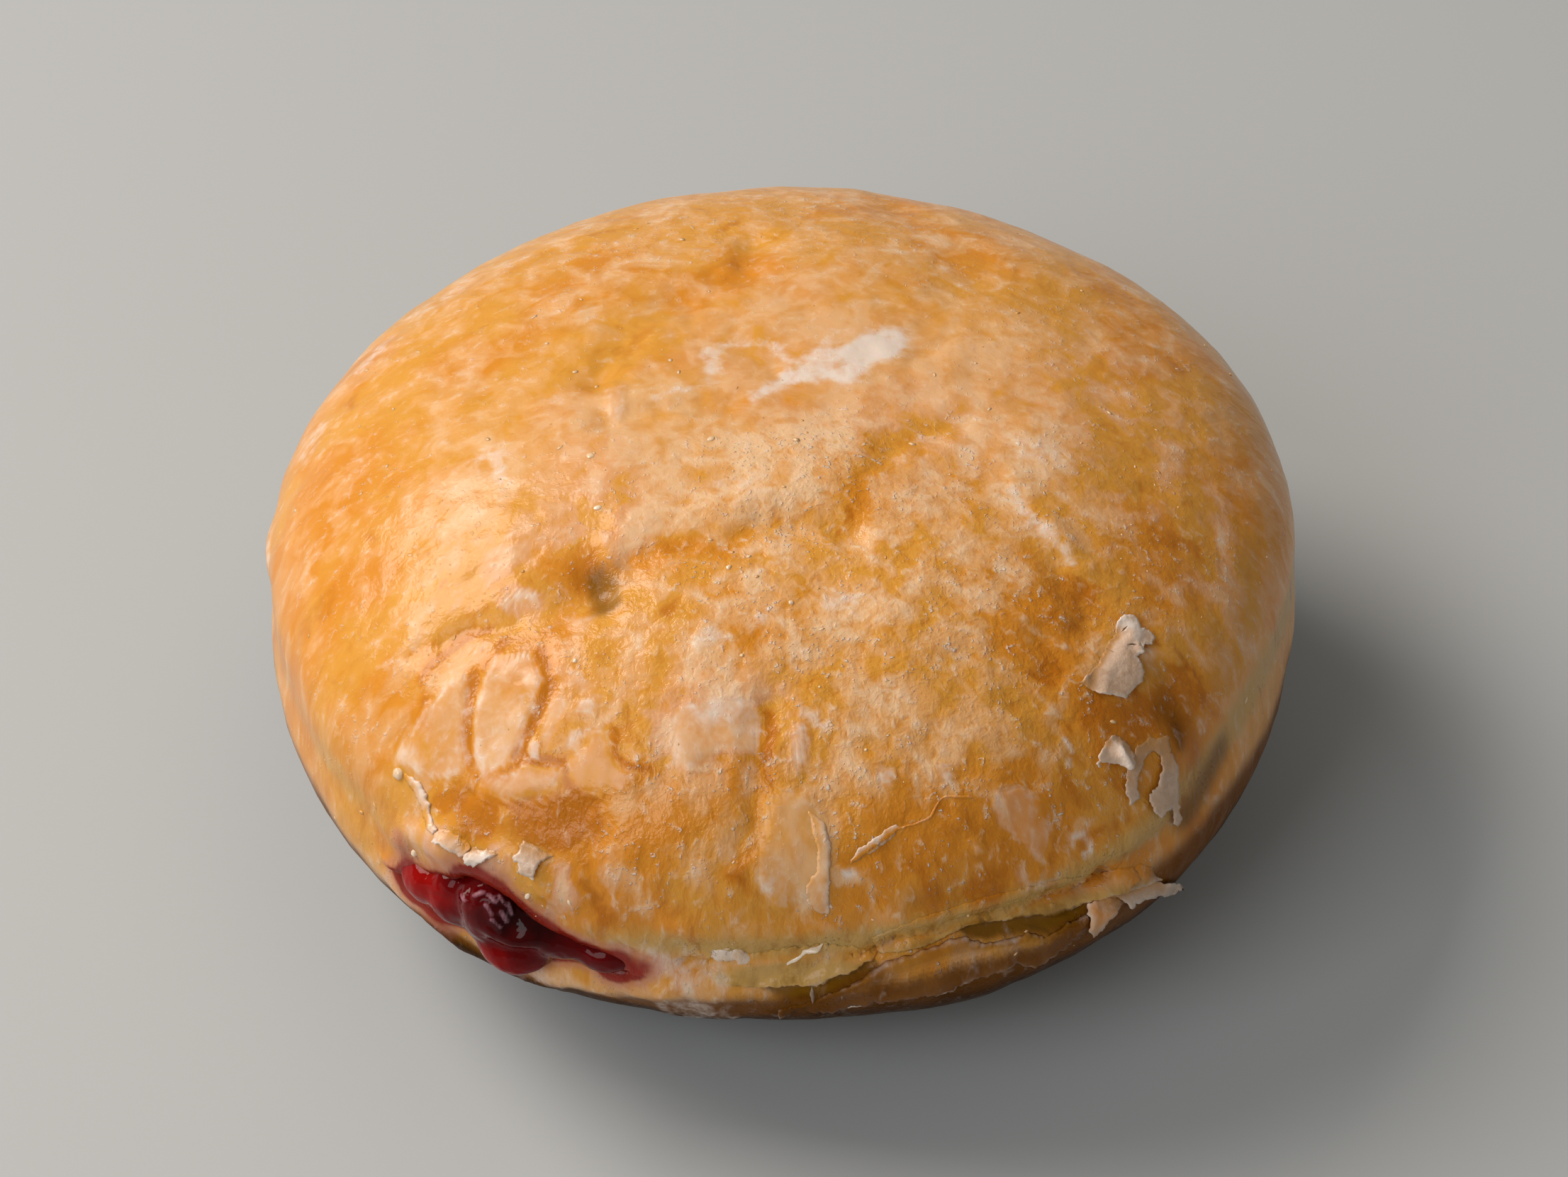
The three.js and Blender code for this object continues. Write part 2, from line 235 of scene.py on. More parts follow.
@dataclass
class Bun:
    """The bun's shape in millimetres, as in the solid, and the finer relief that only shows close up.

    A place is an azimuth, 0 at +X and -90 at the front, and an elevation, 0 at the waist and 90 at the top.
    """

    waist_radius: float = 46.0
    height: float = 45.0
    waist_height: float = 22.0
    underside_depth: float = 24.0
    fullness: float = 2.3
    height_fade: float = 16.0
    radius_waves: tuple[Wave, ...] = (
        Wave(0.4, 1, -32), Wave(0.2, 2, 45), Wave(0.2, 4, 45), Wave(0.35, 5, 18),
    )
    height_waves: tuple[Wave, ...] = (Wave(0.7, 1, -20), Wave(0.7, 2, 32))
    band_depth: float = 0.7
    band_spread: float = 4.5
    wander: float = 0.7  # how far the folds and cracks stray from their paths
    swell_rise: float = 0.24
    dent_rise: float = 0.1
    streak_rise: float = 0.04
    front_streak_rise: float = 0.09
    swellings: tuple[Swelling, ...] = (
        Swelling((-152, 44), 0.9, 11), Swelling((-137, 57), 0.6, 7), Swelling((-100, 33), 0.6, 9),
        Swelling((-62, 36), 0.5, 10), Swelling((-19, 42), 0.7, 5), Swelling((-75, 62), 0.7, 6),
        Swelling((-100, 66), 0.5, 6), Swelling((60, 50), 0.5, 12), Swelling((125, 30), 0.5, 12),
        Swelling((150, 62), 0.4, 7), Swelling((-5, 12), 0.4, 8), Swelling((-179, 5), 0.9, 2.4),
        Swelling((-126, 6), 0.7, 2.2), Swelling((-120.8, 35.8), -0.5, 1.6),
        Swelling((-122.8, 36), -0.5, 3.2), Swelling((-112, 13), -0.5, 2.5), Swelling((-44, 16), -0.4, 3),
    )
    folds: tuple[Fold, ...] = (
        Fold(
            -0.42, 1.4,
            ((-120, 40), (-114, 44.5), (-106, 46), (-100, 47), (-95, 50.5), (-88, 52), (-80, 50.5),
             (-73, 48.5)),
        ),
        Fold(-0.35, 1.6, ((-73, 48.5), (-67, 52.5), (-58, 58), (-44, 60), (-28, 58.5), (-18, 54))),
        Fold(0.4, 1.6, ((-125, 42.5), (-123, 46), (-118, 48.5), (-113, 51), (-102, 54.5), (-88, 58))),
        Fold(0.2, 1.0, ((-123, 40.5), (-118.5, 38), (-117, 35.5))),
        Fold(-0.7, 1.8, ((-157, 56), (-150, 66), (-139, 75))),
        Fold(-0.8, 2.1, ((176, 55), (146, 56), (124, 58), (101, 55), (95, 46))),
        Fold(-0.6, 2.2, ((-125, 34), (-128, 30), (-135, 24))),
        Fold(-0.6, 1.3, ((-91, 27), (-92, 20), (-94, 13))),
        Fold(0.4, 1.2, ((-32, 43), (-37, 31))),
        Fold(-0.6, 2, ((-39, 31), (-42, 26), (-50, 25))),
        Fold(-0.5, 3, ((20, 62), (45, 40), (70, 30))),
        Fold(0.9, 1.7, ((-133, 2), (-128, 5), (-122, 7.5), (-116, 7), (-110, 3.5), (-103, 0.5))),
        Fold(0.8, 1.8, ((-133, -5), (-127, -7.5), (-120, -11), (-114, -9), (-108, -7), (-102, -6))),
        Fold(0.8, 1.6, ((-100, 4), (-90, 3.5), (-80, 4.5), (-68, 5.5), (-58, 5), (-47, 5))),
        Fold(0.6, 1.5, ((-100, -5), (-88, -5), (-76, -3), (-64, -2.5), (-54, -3))),
    )
    slits: tuple[Fold, ...] = (
        Fold(-1.9, 0.8, ((-79, 0.5), (-73, 1.2), (-66, 2), (-60, 1.8), (-54, 1))),
        Fold(-1.1, 0.6, ((-92, -2.6), (-87, -1.8), (-81, 0.2))),
        Fold(-1.0, 0.5, ((-100, -1.6), (-96, -2.2), (-92, -3.2))),
    )
    # Thin cracks between the plates of glaze at the front left, which only the fine surface shows.
    cracks: tuple[Fold, ...] = (
        Fold(-0.16, 0.5, ((-131, 22.5), (-129.2, 19.2), (-128, 17.4), (-126.2, 15))),
        Fold(
            -0.16, 0.5,
            ((-125, 27.5), (-122, 26), (-120.6, 24), (-120.6, 22), (-120.8, 20), (-120.6, 17.6)),
        ),
        Fold(-0.18, 0.45, ((-120.6, 17.4), (-117.5, 17.6), (-115.2, 18.4), (-113, 20.7))),
        Fold(-0.16, 0.45, ((-124.5, 12.6), (-119.5, 13), (-116.2, 14.2))),
        Fold(-0.3, 0.6, ((-140, 20), (-136, 25), (-131, 28))),
    )

    def waves(self, terms: tuple[Wave, ...], azimuth: np.ndarray) -> np.ndarray:
        """The sum of some waves at each azimuth."""
        return sum(w.rise * np.cos(np.radians(w.count * (azimuth - w.crest))) for w in terms)

    def smooth(self, azimuth: np.ndarray, elevation: np.ndarray) -> tuple[np.ndarray, np.ndarray]:
        """The bun before its unevenness.

        Args:
            azimuth: Degrees.
            elevation: Degrees.

        Returns:
            The points and the outward directions there.
        """
        radius = self.waist_radius + self.waves(self.radius_waves, azimuth)
        half = np.where(elevation > 0, self.height - self.waist_height, self.underside_depth)
        level, steep = np.cos(np.radians(elevation)), np.sin(np.radians(elevation))
        bulge = (level / radius) ** self.fullness + (np.abs(steep) / half) ** self.fullness
        reach = bulge ** (-1 / self.fullness)
        out, up = reach * level, reach * steep
        east, north = np.cos(np.radians(azimuth)), np.sin(np.radians(azimuth))
        lifted = up + self.waves(self.height_waves, azimuth) * bell(up, self.height_fade)
        power = self.fullness - 1
        outward = np.maximum(out, 1e-9) ** power / radius**self.fullness
        upward = np.sign(up) * np.abs(up) ** power / half**self.fullness
        normals = np.stack([outward * east, outward * north, upward], -1)
        normals /= np.linalg.norm(normals, axis=-1, keepdims=True)
        return np.stack([out * east, out * north, lifted + self.waist_height], -1), normals

    def outward(self, points: np.ndarray) -> np.ndarray:
        """The outward directions of the smooth bun under points on or near it.

        Args:
            points: Places in millimetres.

        Returns:
            Unit vectors, one in each row.
        """
        out = np.hypot(points[:, 0], points[:, 1])
        up = points[:, 2] - self.waist_height
        half = np.where(up > 0, self.height - self.waist_height, self.underside_depth)
        power = self.fullness - 1
        level = np.maximum(out, 1e-6) ** power / self.waist_radius**self.fullness
        steep = np.sign(up) * np.abs(up) ** power / half**self.fullness
        away = points[:, :2] / np.maximum(out, 1e-6)[:, None]
        normals = np.column_stack([level[:, None] * away, steep])
        return normals / np.linalg.norm(normals, axis=1, keepdims=True)

    def band(self, azimuth: np.ndarray) -> np.ndarray:
        """The elevation of the middle of the pale band, which climbs at the right and dips at the mouth."""
        return 2 + 3.5 * bell(wrap(azimuth + 28), 26) - 2 * bell(wrap(azimuth + 108), 26)

    def line(self, path: tuple[Place, ...]) -> np.ndarray:
        """The corners of a path along the smooth bun, in millimetres."""
        stops = np.array(path, float)
        return self.smooth(stops[:, 0], stops[:, 1])[0]

    def unevenness(self, points: np.ndarray, azimuth: np.ndarray, elevation: np.ndarray) -> np.ndarray:
        """How far the crust stands out from the smooth bun: what the solid has, and the finer relief.

        Args:
            points: Places on the smooth bun, in millimetres.
            azimuth: Their azimuths.
            elevation: Their elevations.

        Returns:
            Heights in millimetres.
        """
        rise = -self.band_depth * bell(elevation - self.band(azimuth), self.band_spread)
        for swelling in self.swellings:
            far = near_line(points, self.line((swelling.place,)))
            rise = rise + swelling.rise * bell(far, swelling.spread)
        strays = [fractal(points, 3.0, 5.1 + 9 * i, 3) for i in range(3)]
        wander = points + self.wander * np.stack(strays, -1)
        for fold in self.folds:
            strength = 0.75 + 0.5 * fractal(points, 7.0, fold.spread)
            rise = rise + fold.rise * strength * bell(near_line(wander, self.line(fold.path)), fold.spread)
        for slit in self.slits + self.cracks:
            rise = rise + slit.rise * bell(near_line(wander, self.line(slit.path)), slit.spread)
        dome = ramp(elevation - self.band(azimuth), 1, 7)
        front = bell(wrap(azimuth + 75), 50) * ramp(elevation, 55, 25)
        rise = rise + self.swell_rise * fractal(points, 12.0, 3.3, 2)
        rise = rise + self.dent_rise * fractal(points, 4.0, 17.0, 3)
        streaks = fractal(points * np.array([1.0, 1.0, 0.4]), 2.6, 41.0, 2)
        return rise + (self.streak_rise + self.front_streak_rise * front) * dome * streaks


@dataclass
class Mouth:
    """The torn opening at the waist where the jam swells out, in millimetres along and up the crust."""

    azimuth: float = -118.0
    degree: float = 0.8
    along: tuple[float, ...] = (
        -11.9, -11.3, -9.8, -7.9, -5.6, -3.7, -1.8, -0.5, 0.9, 2.3, 3.5, 5.1, 6.8, 8.2, 9.5, 10.4,
    )
    top: tuple[float, ...] = (
        -2.2, -1.6, -0.6, 0.6, 1.8, 3.7, 3.4, 3.1, 2.1, 0.8, 0.0, 0.2, -0.2, -0.9, -2.0, -3.2,
    )
    low: tuple[float, ...] = (
        -2.6, -3.2, -3.9, -4.3, -4.3, -4.2, -6.0, -6.4, -5.6, -4.4, -3.8, -3.3, -3.1, -4.0, -4.0, -3.4,
    )
    pit: float = 4.5
    lip_rise: float = 0.35
    low_lip_rise: float = -0.35
    overhang: float = 0.9

    def depth(self, azimuth: np.ndarray, elevation: np.ndarray) -> tuple[np.ndarray, np.ndarray]:
        """How far a place is outside the opening.

        Args:
            azimuth: Degrees.
            elevation: Degrees.

        Returns:
            The distance in millimetres, negative inside, and how far above the opening's middle it is.
        """
        along = wrap(azimuth - self.azimuth) * self.degree
        up = elevation * self.degree
        top = np.interp(along, self.along, self.top)
        low = np.interp(along, self.along, self.low)
        past = np.maximum(np.maximum(self.along[0] - along, along - self.along[-1]), 0)
        outside = np.maximum(up - top, low - up)
        outside = np.where(past > 0, np.hypot(past, up - (top + low) / 2), outside)
        return outside, up - (top + low) / 2

    def press(
        self, points: np.ndarray, normals: np.ndarray, azimuth: np.ndarray, elevation: np.ndarray
    ) -> np.ndarray:
        """Presses the crust in at the opening and rolls its lips.

        Args:
            points: The crust, in millimetres.
            normals: The outward directions.
            azimuth: Azimuths of the points.
            elevation: Elevations of the points.

        Returns:
            The crust with its mouth.
        """
        outside, above = self.depth(azimuth, elevation)
        outside = outside + 0.3 * fractal(points, 2.0, 77.0, 3)
        inward = self.pit * ramp(-outside, -0.1, 1.2)
        lips = np.where(above > 0, self.lip_rise, self.low_lip_rise)
        rise = lips * bell(outside - 0.6, 1.2) * (outside > -0.8) - inward
        sink = self.overhang * bell(outside, 1.4) * ramp(above, 0.0, 1.5)
        moved = points + rise[:, None] * normals
        moved[:, 2] -= sink
        return moved


@dataclass(frozen=True)
class Viewpoint:
    """The camera, at the angle of the photograph: 43 degrees above the horizon, with an 86 mm lens."""

    elevation: float = 43.0
    distance: float = 335.9
    aim_height: float = 20.0
    aside: float = 0.52
    above: float = 0.31
    lens: float = 86.26
    sensor: float = 36.0
    width: int = 2212
    height: int = 1660

    @property
    def back(self) -> Vector:
        """The direction from the doughnut to the camera."""
        angle = math.radians(self.elevation)
        return Vector((0, -math.cos(angle), math.sin(angle)))

    @property
    def up(self) -> Vector:
        """The camera's own upward direction."""
        angle = math.radians(self.elevation)
        return Vector((0, math.sin(angle), math.cos(angle)))

    @property
    def place(self) -> Vector:
        """Where the camera stands, in millimetres."""
        return Vector((self.aside, 0, self.aim_height)) + self.back * self.distance + self.up * self.above

    def ray(self, pixel: Pixel) -> Vector:
        """The direction in which the camera sees a pixel of the photograph.

        Args:
            pixel: Across and down from the top left corner of the 2212 by 1660 frame.

        Returns:
            A unit vector.
        """
        focal = self.lens / self.sensor * self.width
        across = (pixel[0] - self.width / 2) / focal
        down = (pixel[1] - self.height / 2) / focal
        return (Vector((across, 0, 0)) - self.up * down - self.back).normalized()

    def pixels(self, points: np.ndarray) -> np.ndarray:
        """Where in the photograph some points show.

        Args:
            points: Places in millimetres, one in each row.

        Returns:
            Across and down for each point.
        """
        offset = points - np.array(self.place)
        far = -(offset @ np.array(self.back)) * self.sensor / (self.lens * self.width)
        across, up = offset[:, 0] / far, offset @ np.array(self.up) / far
        return np.column_stack([self.width / 2 + across, self.height / 2 - up])


@dataclass
class Ground:
    """The finished crust, on which the pieces that are placed by a pixel of the photograph are laid."""

    tree: BVHTree
    bun: Bun
    corners: np.ndarray
    layers: dict[Layer, np.ndarray] = field(default_factory=dict)
    view: Viewpoint = field(default_factory=Viewpoint)
    search: float = 45.0  # a ray that misses is followed this far before and behind the middle
    stride: float = 1.5

    def under(self, pixel: Pixel) -> np.ndarray:
        """The point of the crust under a pixel, or beside it where the pixel is past the outline.

        Args:
            pixel: Across and down in the photograph.

        Returns:
            The point, in millimetres.
        """
        start, way = self.view.place, self.view.ray(pixel)
        hit = self.tree.ray_cast(start, way)[0]
        if hit is None:
            nearest = self.view.distance - self.search
            count = round(2 * self.search / self.stride) + 1
            tries = [start + way * (nearest + self.stride * step) for step in range(count)]
            hit = min(tries, key=lambda spot: self.tree.find_nearest(spot)[3])
        return np.array(hit)

    def settle(self, points: np.ndarray) -> np.ndarray:
        """The points of the crust that are nearest to some points, in millimetres."""
        return np.array([self.tree.find_nearest(Vector(p))[0] for p in points])

    def layers_at(self, points: np.ndarray) -> dict[Layer, np.ndarray]:
        """The layers of the crust nearest to some points, in millimetres."""
        nearest = self.corners[[self.tree.find_nearest(Vector(p))[2] for p in points]]
        return {layer: values[nearest].mean(1) for layer, values in self.layers.items()}


def srgb(code: str) -> tuple[float, float, float, float]:
    """Turns an sRGB hex colour into the linear colour that a shader takes.

    Args:
        code: Six hex digits.

    Returns:
        Linear red, green and blue, and an alpha of 1.
    """
    shares = [int(code[i : i + 2], 16) / 255 for i in (0, 2, 4)]
    linear = [s / 12.92 if s <= 0.04045 else ((s + 0.055) / 1.055) ** 2.4 for s in shares]
    return (*linear, 1.0)


class Kind(Enum):
    """The kinds of node: the type, the inputs in the order in which they come, the output and the mode."""

    PLACE = ("ShaderNodeTexCoord", (), "Object", {})
    STRETCH = ("ShaderNodeMapping", ("Vector", "Scale"), "Vector", {})
    LAYER = ("ShaderNodeAttribute", (), "Fac", {})
    LUMPS = ("ShaderNodeTexNoise", ("Vector", "Scale", "Detail", "Roughness", "Distortion"), "Fac", {})
    FIT = (
        "ShaderNodeMapRange",
        ("Value", "From Min", "From Max", "To Min", "To Max"),
        "Result",
        {"interpolation_type": "SMOOTHSTEP"},
    )
    TIMES = ("ShaderNodeMath", (0, 1), 0, {"operation": "MULTIPLY"})
    TIMES_PLUS = ("ShaderNodeMath", (0, 1, 2), 0, {"operation": "MULTIPLY_ADD"})
    LAY = ("ShaderNodeMix", (6, 7, 0), 2, {"data_type": "RGBA"})
    BUMP = ("ShaderNodeBump", ("Height", "Distance", "Strength"), "Normal", {})


@dataclass(frozen=True)
class Lumps:
    """A pattern of soft lumps: their size in millimetres, and how fine, rough and twisted they are."""

    size: float
    detail: float = 3.0
    rough: float = 0.55
    warp: float = 0.0

    @property
    def inputs(self) -> tuple[float, ...]:
        """The scale, detail, roughness and distortion that a node of lumps takes."""
        return 1 / (self.size * MM), self.detail, self.rough, self.warp


@dataclass
class Recipe:
    """A material while its nodes are being put together."""

    name: str

    def __post_init__(self) -> None:
        """Starts the material with only a shader in it."""
        self.material = bpy.data.materials.new(self.name)
        self.material.use_nodes = True
        self.tree = self.material.node_tree
        self.shader = self.tree.nodes["Principled BSDF"]
        self.where = self.add(Kind.PLACE)

    def plug(self, node: bpy.types.Node, key: str | int, value: object) -> None:
        """Links a socket to an input of a node, or sets the input to a value."""
        if isinstance(value, Socket):
            self.tree.links.new(value, node.inputs[key])
        else:
            node.inputs[key].default_value = value

    def add(self, kind: Kind, *inputs: object, **settings: object) -> Socket:
        """Adds a node.

        Args:
            kind: The kind of node.
            *inputs: Values or sockets, in the order of the kind's inputs.
            **settings: Attributes of the node itself.

        Returns:
            The node's output.
        """
        type_name, keys, output, mode = kind.value
        node = self.tree.nodes.new(type_name)
        for name, value in (mode | settings).items():
            setattr(node, name, value)
        for key, value in zip(keys, inputs):
            self.plug(node, key, value)
        return node.outputs[output]

    def read(self, *layers: Layer) -> list[Socket]:
        """Some layers of the mesh."""
        return [self.add(Kind.LAYER, attribute_name=layer.value) for layer in layers]

    def sum(self, *terms: tuple[object, float]) -> Socket:
        """A sum of sockets, each times a number."""
        total = 0.0
        for value, times in terms:
            total = self.add(Kind.TIMES_PLUS, value, times, total)
        return total

    def coats(self, under: str, *coats: tuple[str | Socket, Socket]) -> Socket:
        """Lays colours over one another.

        Args:
            under: The hex colour at the bottom.
            *coats: Each colour, as hex digits or a socket, and the share of what is below that it covers.

        Returns:
            The colour that is seen.
        """
        seen = srgb(under)
        for colour, share in coats:
            seen = self.add(Kind.LAY, seen, srgb(colour) if isinstance(colour, str) else colour, share)
        return seen

    def finish(self, **inputs: object) -> bpy.types.Material:
        """Connects the shader.

        Args:
            **inputs: Values or sockets by the shader's input name, with underscores for spaces.

        Returns:
            The material.
        """
        for name, value in inputs.items():
            self.plug(self.shader, name.replace("_", " "), value)
        return self.material


@dataclass(frozen=True)
class GlazedCrust:
    """Yeast dough fried golden, dipped in thin sugar glaze that dried to a clear film and cracked.

    The crust is warm orange where it is bare and tan under the film, with a pale band where the oil never
    reached, white where the glaze is thick, and a wet gloss that small blisters break up. White specks are
    painted glints, and the darker underside, hollows and gaps are partly painted shade.
    """

    name: str = "Fried crust under dried sugar glaze"
    golden: str = "DA9A3C"
    orange: str = "D68A26"
    deep: str = "BC6E0E"
    tan: str = "E2AA6E"
    pink: str = "E0A884"
    cream: str = "ECC8A0"
    pale: str = "C69E58"
    olive_shade: str = "80560C"
    toasted_and_shade: str = "764608"
    dark_and_shade: str = "341C04"
    white: str = "EADCD2"
    red: str = "8A1408"
    violet: str = "BC7866"
    clouds: Lumps = Lumps(9.0)  # browning
    # The patches pattern sets where the painted glints show.
    patches: Lumps = Lumps(4.0, 2.0)  # where the glaze glints
    grains: Lumps = Lumps(0.35, 1.0)
    blots: Lumps = Lumps(3.0, 3.0, 0.5, 0.6)  # thicker and thinner film
    flecks: Lumps = Lumps(0.9, warp=0.4)
    swells: Lumps = Lumps(2.6, 1.5)
    upright: float = 0.42  # how much the blots, flecks and swells are drawn out upwards
    bump: float = 0.9  # millimetres
    glow: float = 0.35  # how much light spreads inside it
    glow_reach: float = 1.8  # millimetres

    def make(self) -> bpy.types.Material:
        """Builds the material.

        Returns:
            The material, which reads the layers of the mesh that it is on.
        """
        r = Recipe(self.name)
        # The layer that is read as fried holds both frying and painted shade.
        film, waist, fried, jam, thick, blister, rosy, hollow = r.read(*Layer)
        drawn_out = r.add(Kind.STRETCH, r.where, (1, 1, self.upright))
        even, drawn = (self.clouds, self.patches, self.grains), (self.blots, self.flecks, self.swells)
        clouds, patches, grains = (r.add(Kind.LUMPS, r.where, *lumps.inputs) for lumps in even)
        blots, flecks, swells = (r.add(Kind.LUMPS, drawn_out, *lumps.inputs) for lumps in drawn)

        # Browned dough, deep orange where it is bare, tan and then cream as the film gets thicker.
        browning = r.add(Kind.FIT, r.sum((clouds, 1.0), (film, -0.08)), 0.40, 0.62)
        vary = r.add(Kind.FIT, blister, 0.15, 0.7, 0.5, 1.0)
        cover = r.sum((blots, 0.7), (clouds, 0.2), (flecks, 0.1), (film, 0.13))
        bare = r.add(Kind.TIMES, r.add(Kind.FIT, cover, 0.45, 0.29, 0.0, 0.9), vary)
        filmed = r.add(Kind.TIMES, r.add(Kind.FIT, cover, 0.46, 0.58, 0.0, 0.9), vary)
        creamy = r.add(Kind.TIMES, r.add(Kind.FIT, cover, 0.56, 0.70, 0.0, 0.75), vary)
        pale_flecks = r.add(Kind.TIMES, r.add(Kind.FIT, flecks, 0.56, 0.72, 0.0, 0.55), blister)
        bare_flecks = r.add(Kind.TIMES, r.add(Kind.FIT, flecks, 0.44, 0.30, 0.0, 0.6), blister)
        # Painted glints: white specks that stand for highlights on the broken glaze; the same mask also
        # raises small bumps.
        broken = r.add(Kind.FIT, r.sum((grains, 0.6), (flecks, 0.4)), 0.59, 0.67)
        painted_glint_and_bump = r.add(Kind.TIMES, broken, r.add(Kind.FIT, patches, 0.42, 0.60))
        painted_glint_and_bump = r.add(Kind.TIMES, painted_glint_and_bump, blister)

        # The pale band has a ragged edge, and painted shade makes it olive in its hollows. The underside is
        # darker: fried, and with painted shade.
        relief = r.sum((blots, 0.6), (flecks, 0.3), (grains, 0.1))
        band = r.add(Kind.FIT, r.sum((waist, 1.0), (blots, 0.6), (flecks, 0.2)), 0.75, 1.35, 0.0, 0.9)
        pale = r.coats(self.pale, (self.olive_shade, r.add(Kind.FIT, relief, 0.50, 0.38, 0.0, 0.6)))
        toast = r.sum((fried, 1.0), (clouds, 0.5), (blots, 0.3))

        # Thick glaze is white, with a mottled edge. Jam soaks in red and fades through violet.
        white = r.add(Kind.FIT, r.sum((thick, 1.0), (flecks, 1.4), (blots, 0.8)), 1.15, 2.35, 0.0, 0.9)
        soaked = r.sum((jam, 1.0), (blots, 0.6))
        colour = r.coats(
            self.golden,
            (self.orange, browning),
            (self.deep, bare),
            (r.coats(self.tan, (self.pink, rosy)), filmed),
            (self.cream, creamy),
            (self.cream, pale_flecks),
            (self.orange, bare_flecks),
            (self.white, r.add(Kind.TIMES, painted_glint_and_bump, 0.85)),
            (pale, band),
            # Painted shade: the darker underside and foot, and the olive in the hollows.
            (self.toasted_and_shade, r.add(Kind.FIT, toast, 0.5, 1.0)),
            (self.dark_and_shade, r.add(Kind.FIT, toast, 0.95, 1.5, 0.0, 0.9)),
            (self.olive_shade, r.add(Kind.FIT, hollow, 0.2, 0.9)),
            (self.white, white),
            (self.violet, r.add(Kind.FIT, soaked, 0.42, 0.75, 0.0, 0.6)),
            (self.red, r.add(Kind.FIT, soaked, 0.75, 1.15, 0.0, 0.95)),
        )
        blisters = r.add(Kind.TIMES, r.sum((flecks, 0.27), (grains, 0.05)), blister)
        height = r.sum((swells, 0.26), (blots, 0.05), (blisters, 1.0), (painted_glint_and_bump, 0.16))
        bumps = r.add(Kind.BUMP, height, self.bump * MM)
        return r.finish(
            Base_Color=colour,
            Roughness=r.add(Kind.FIT, cover, 0.40, 0.65, 0.32, 0.44),
            Specular_IOR_Level=r.add(Kind.FIT, toast, 0.6, 1.2, 0.12, 0.02),
            Normal=bumps,
            Coat_Weight=r.add(Kind.FIT, toast, 0.6, 1.2, 0.4, 0.0),
            Coat_Roughness=0.14,
            Coat_IOR=1.4,
            Coat_Normal=bumps,
            Subsurface_Weight=self.glow,
            Subsurface_Radius=(1.0, 0.42, 0.14),
            Subsurface_Scale=self.glow_reach * MM,
        )


@dataclass(frozen=True)
class CurledGlaze:
    """Thin curls, drips and beads of sugar glaze, dried half clear, so that the crust colours them."""

    name: str = "Half-clear beads of dried sugar glaze"
    amber: str = "D9A054"
    cream: str = "E6BE8C"
    white: str = "F2DEC6"
    clouds: Lumps = Lumps(1.4, warp=0.3)
    grains: Lumps = Lumps(0.4, 2.0)
    bump: float = 0.4  # millimetres

    def make(self) -> bpy.types.Material:
        """Builds the material.

        Returns:
            The material; the white layer is how white the sugar is.
        """
        r = Recipe(self.name)
        (thick,) = r.read(Layer.WHITE)
        clouds, grains = (r.add(Kind.LUMPS, r.where, *lumps.inputs) for lumps in (self.clouds, self.grains))
        shift = r.sum((thick, 1.0), (clouds, 1.0))
        creamy, white = r.add(Kind.FIT, shift, 0.45, 1.0), r.add(Kind.FIT, shift, 1.0, 1.7)
        return r.finish(
            Base_Color=r.coats(self.amber, (self.cream, creamy), (self.white, white)),
            Roughness=0.3,
            Normal=r.add(Kind.BUMP, r.sum((clouds, 0.25), (grains, 0.06)), self.bump * MM),
            Coat_Weight=0.5,
            Coat_Roughness=0.08,
        )


@dataclass(frozen=True)
class DriedSugar:
    """Thick sugar glaze, dried creamy white and brittle, with thinner spots that let the crust show."""

    name: str = "Creamy dried sugar glaze"
    white: str = "E2D2C6"
    cream: str = "D2B49C"
    shade: str = "B89270"
    thin: str = "BC8440"
    clouds: Lumps = Lumps(2.2, 4.0, warp=0.2)
    grains: Lumps = Lumps(0.35, 2.0)
    blots: Lumps = Lumps(0.8)
    bump: float = 0.4  # millimetres

    def make(self) -> bpy.types.Material:
        """Builds the material.

        Returns:
            The material; the film layer is how thick the sugar is.
        """
        r = Recipe(self.name)
        film, thick = r.read(Layer.FILM, Layer.WHITE)
        patterns = (self.clouds, self.grains, self.blots)
        clouds, grains, blots = (r.add(Kind.LUMPS, r.where, *lumps.inputs) for lumps in patterns)
        shaded = r.add(Kind.FIT, r.sum((clouds, 0.6), (blots, 0.4)), 0.46, 0.62)
        white = r.add(Kind.FIT, r.sum((thick, 1.0), (clouds, 0.9), (blots, 0.5)), 0.7, 1.3)
        clear = r.add(Kind.FIT, r.sum((film, 1.0), (clouds, 0.9), (blots, 0.4)), 1.15, 0.6, 0.0, 0.9)
        height = r.sum((clouds, 0.3), (blots, 0.25), (grains, 0.08))
        return r.finish(
            Base_Color=r.coats(self.cream, (self.shade, shaded), (self.white, white), (self.thin, clear)),
            Roughness=0.4,
            Normal=r.add(Kind.BUMP, height, self.bump * MM),
            Coat_Weight=0.35,
            Coat_Roughness=0.12,
        )


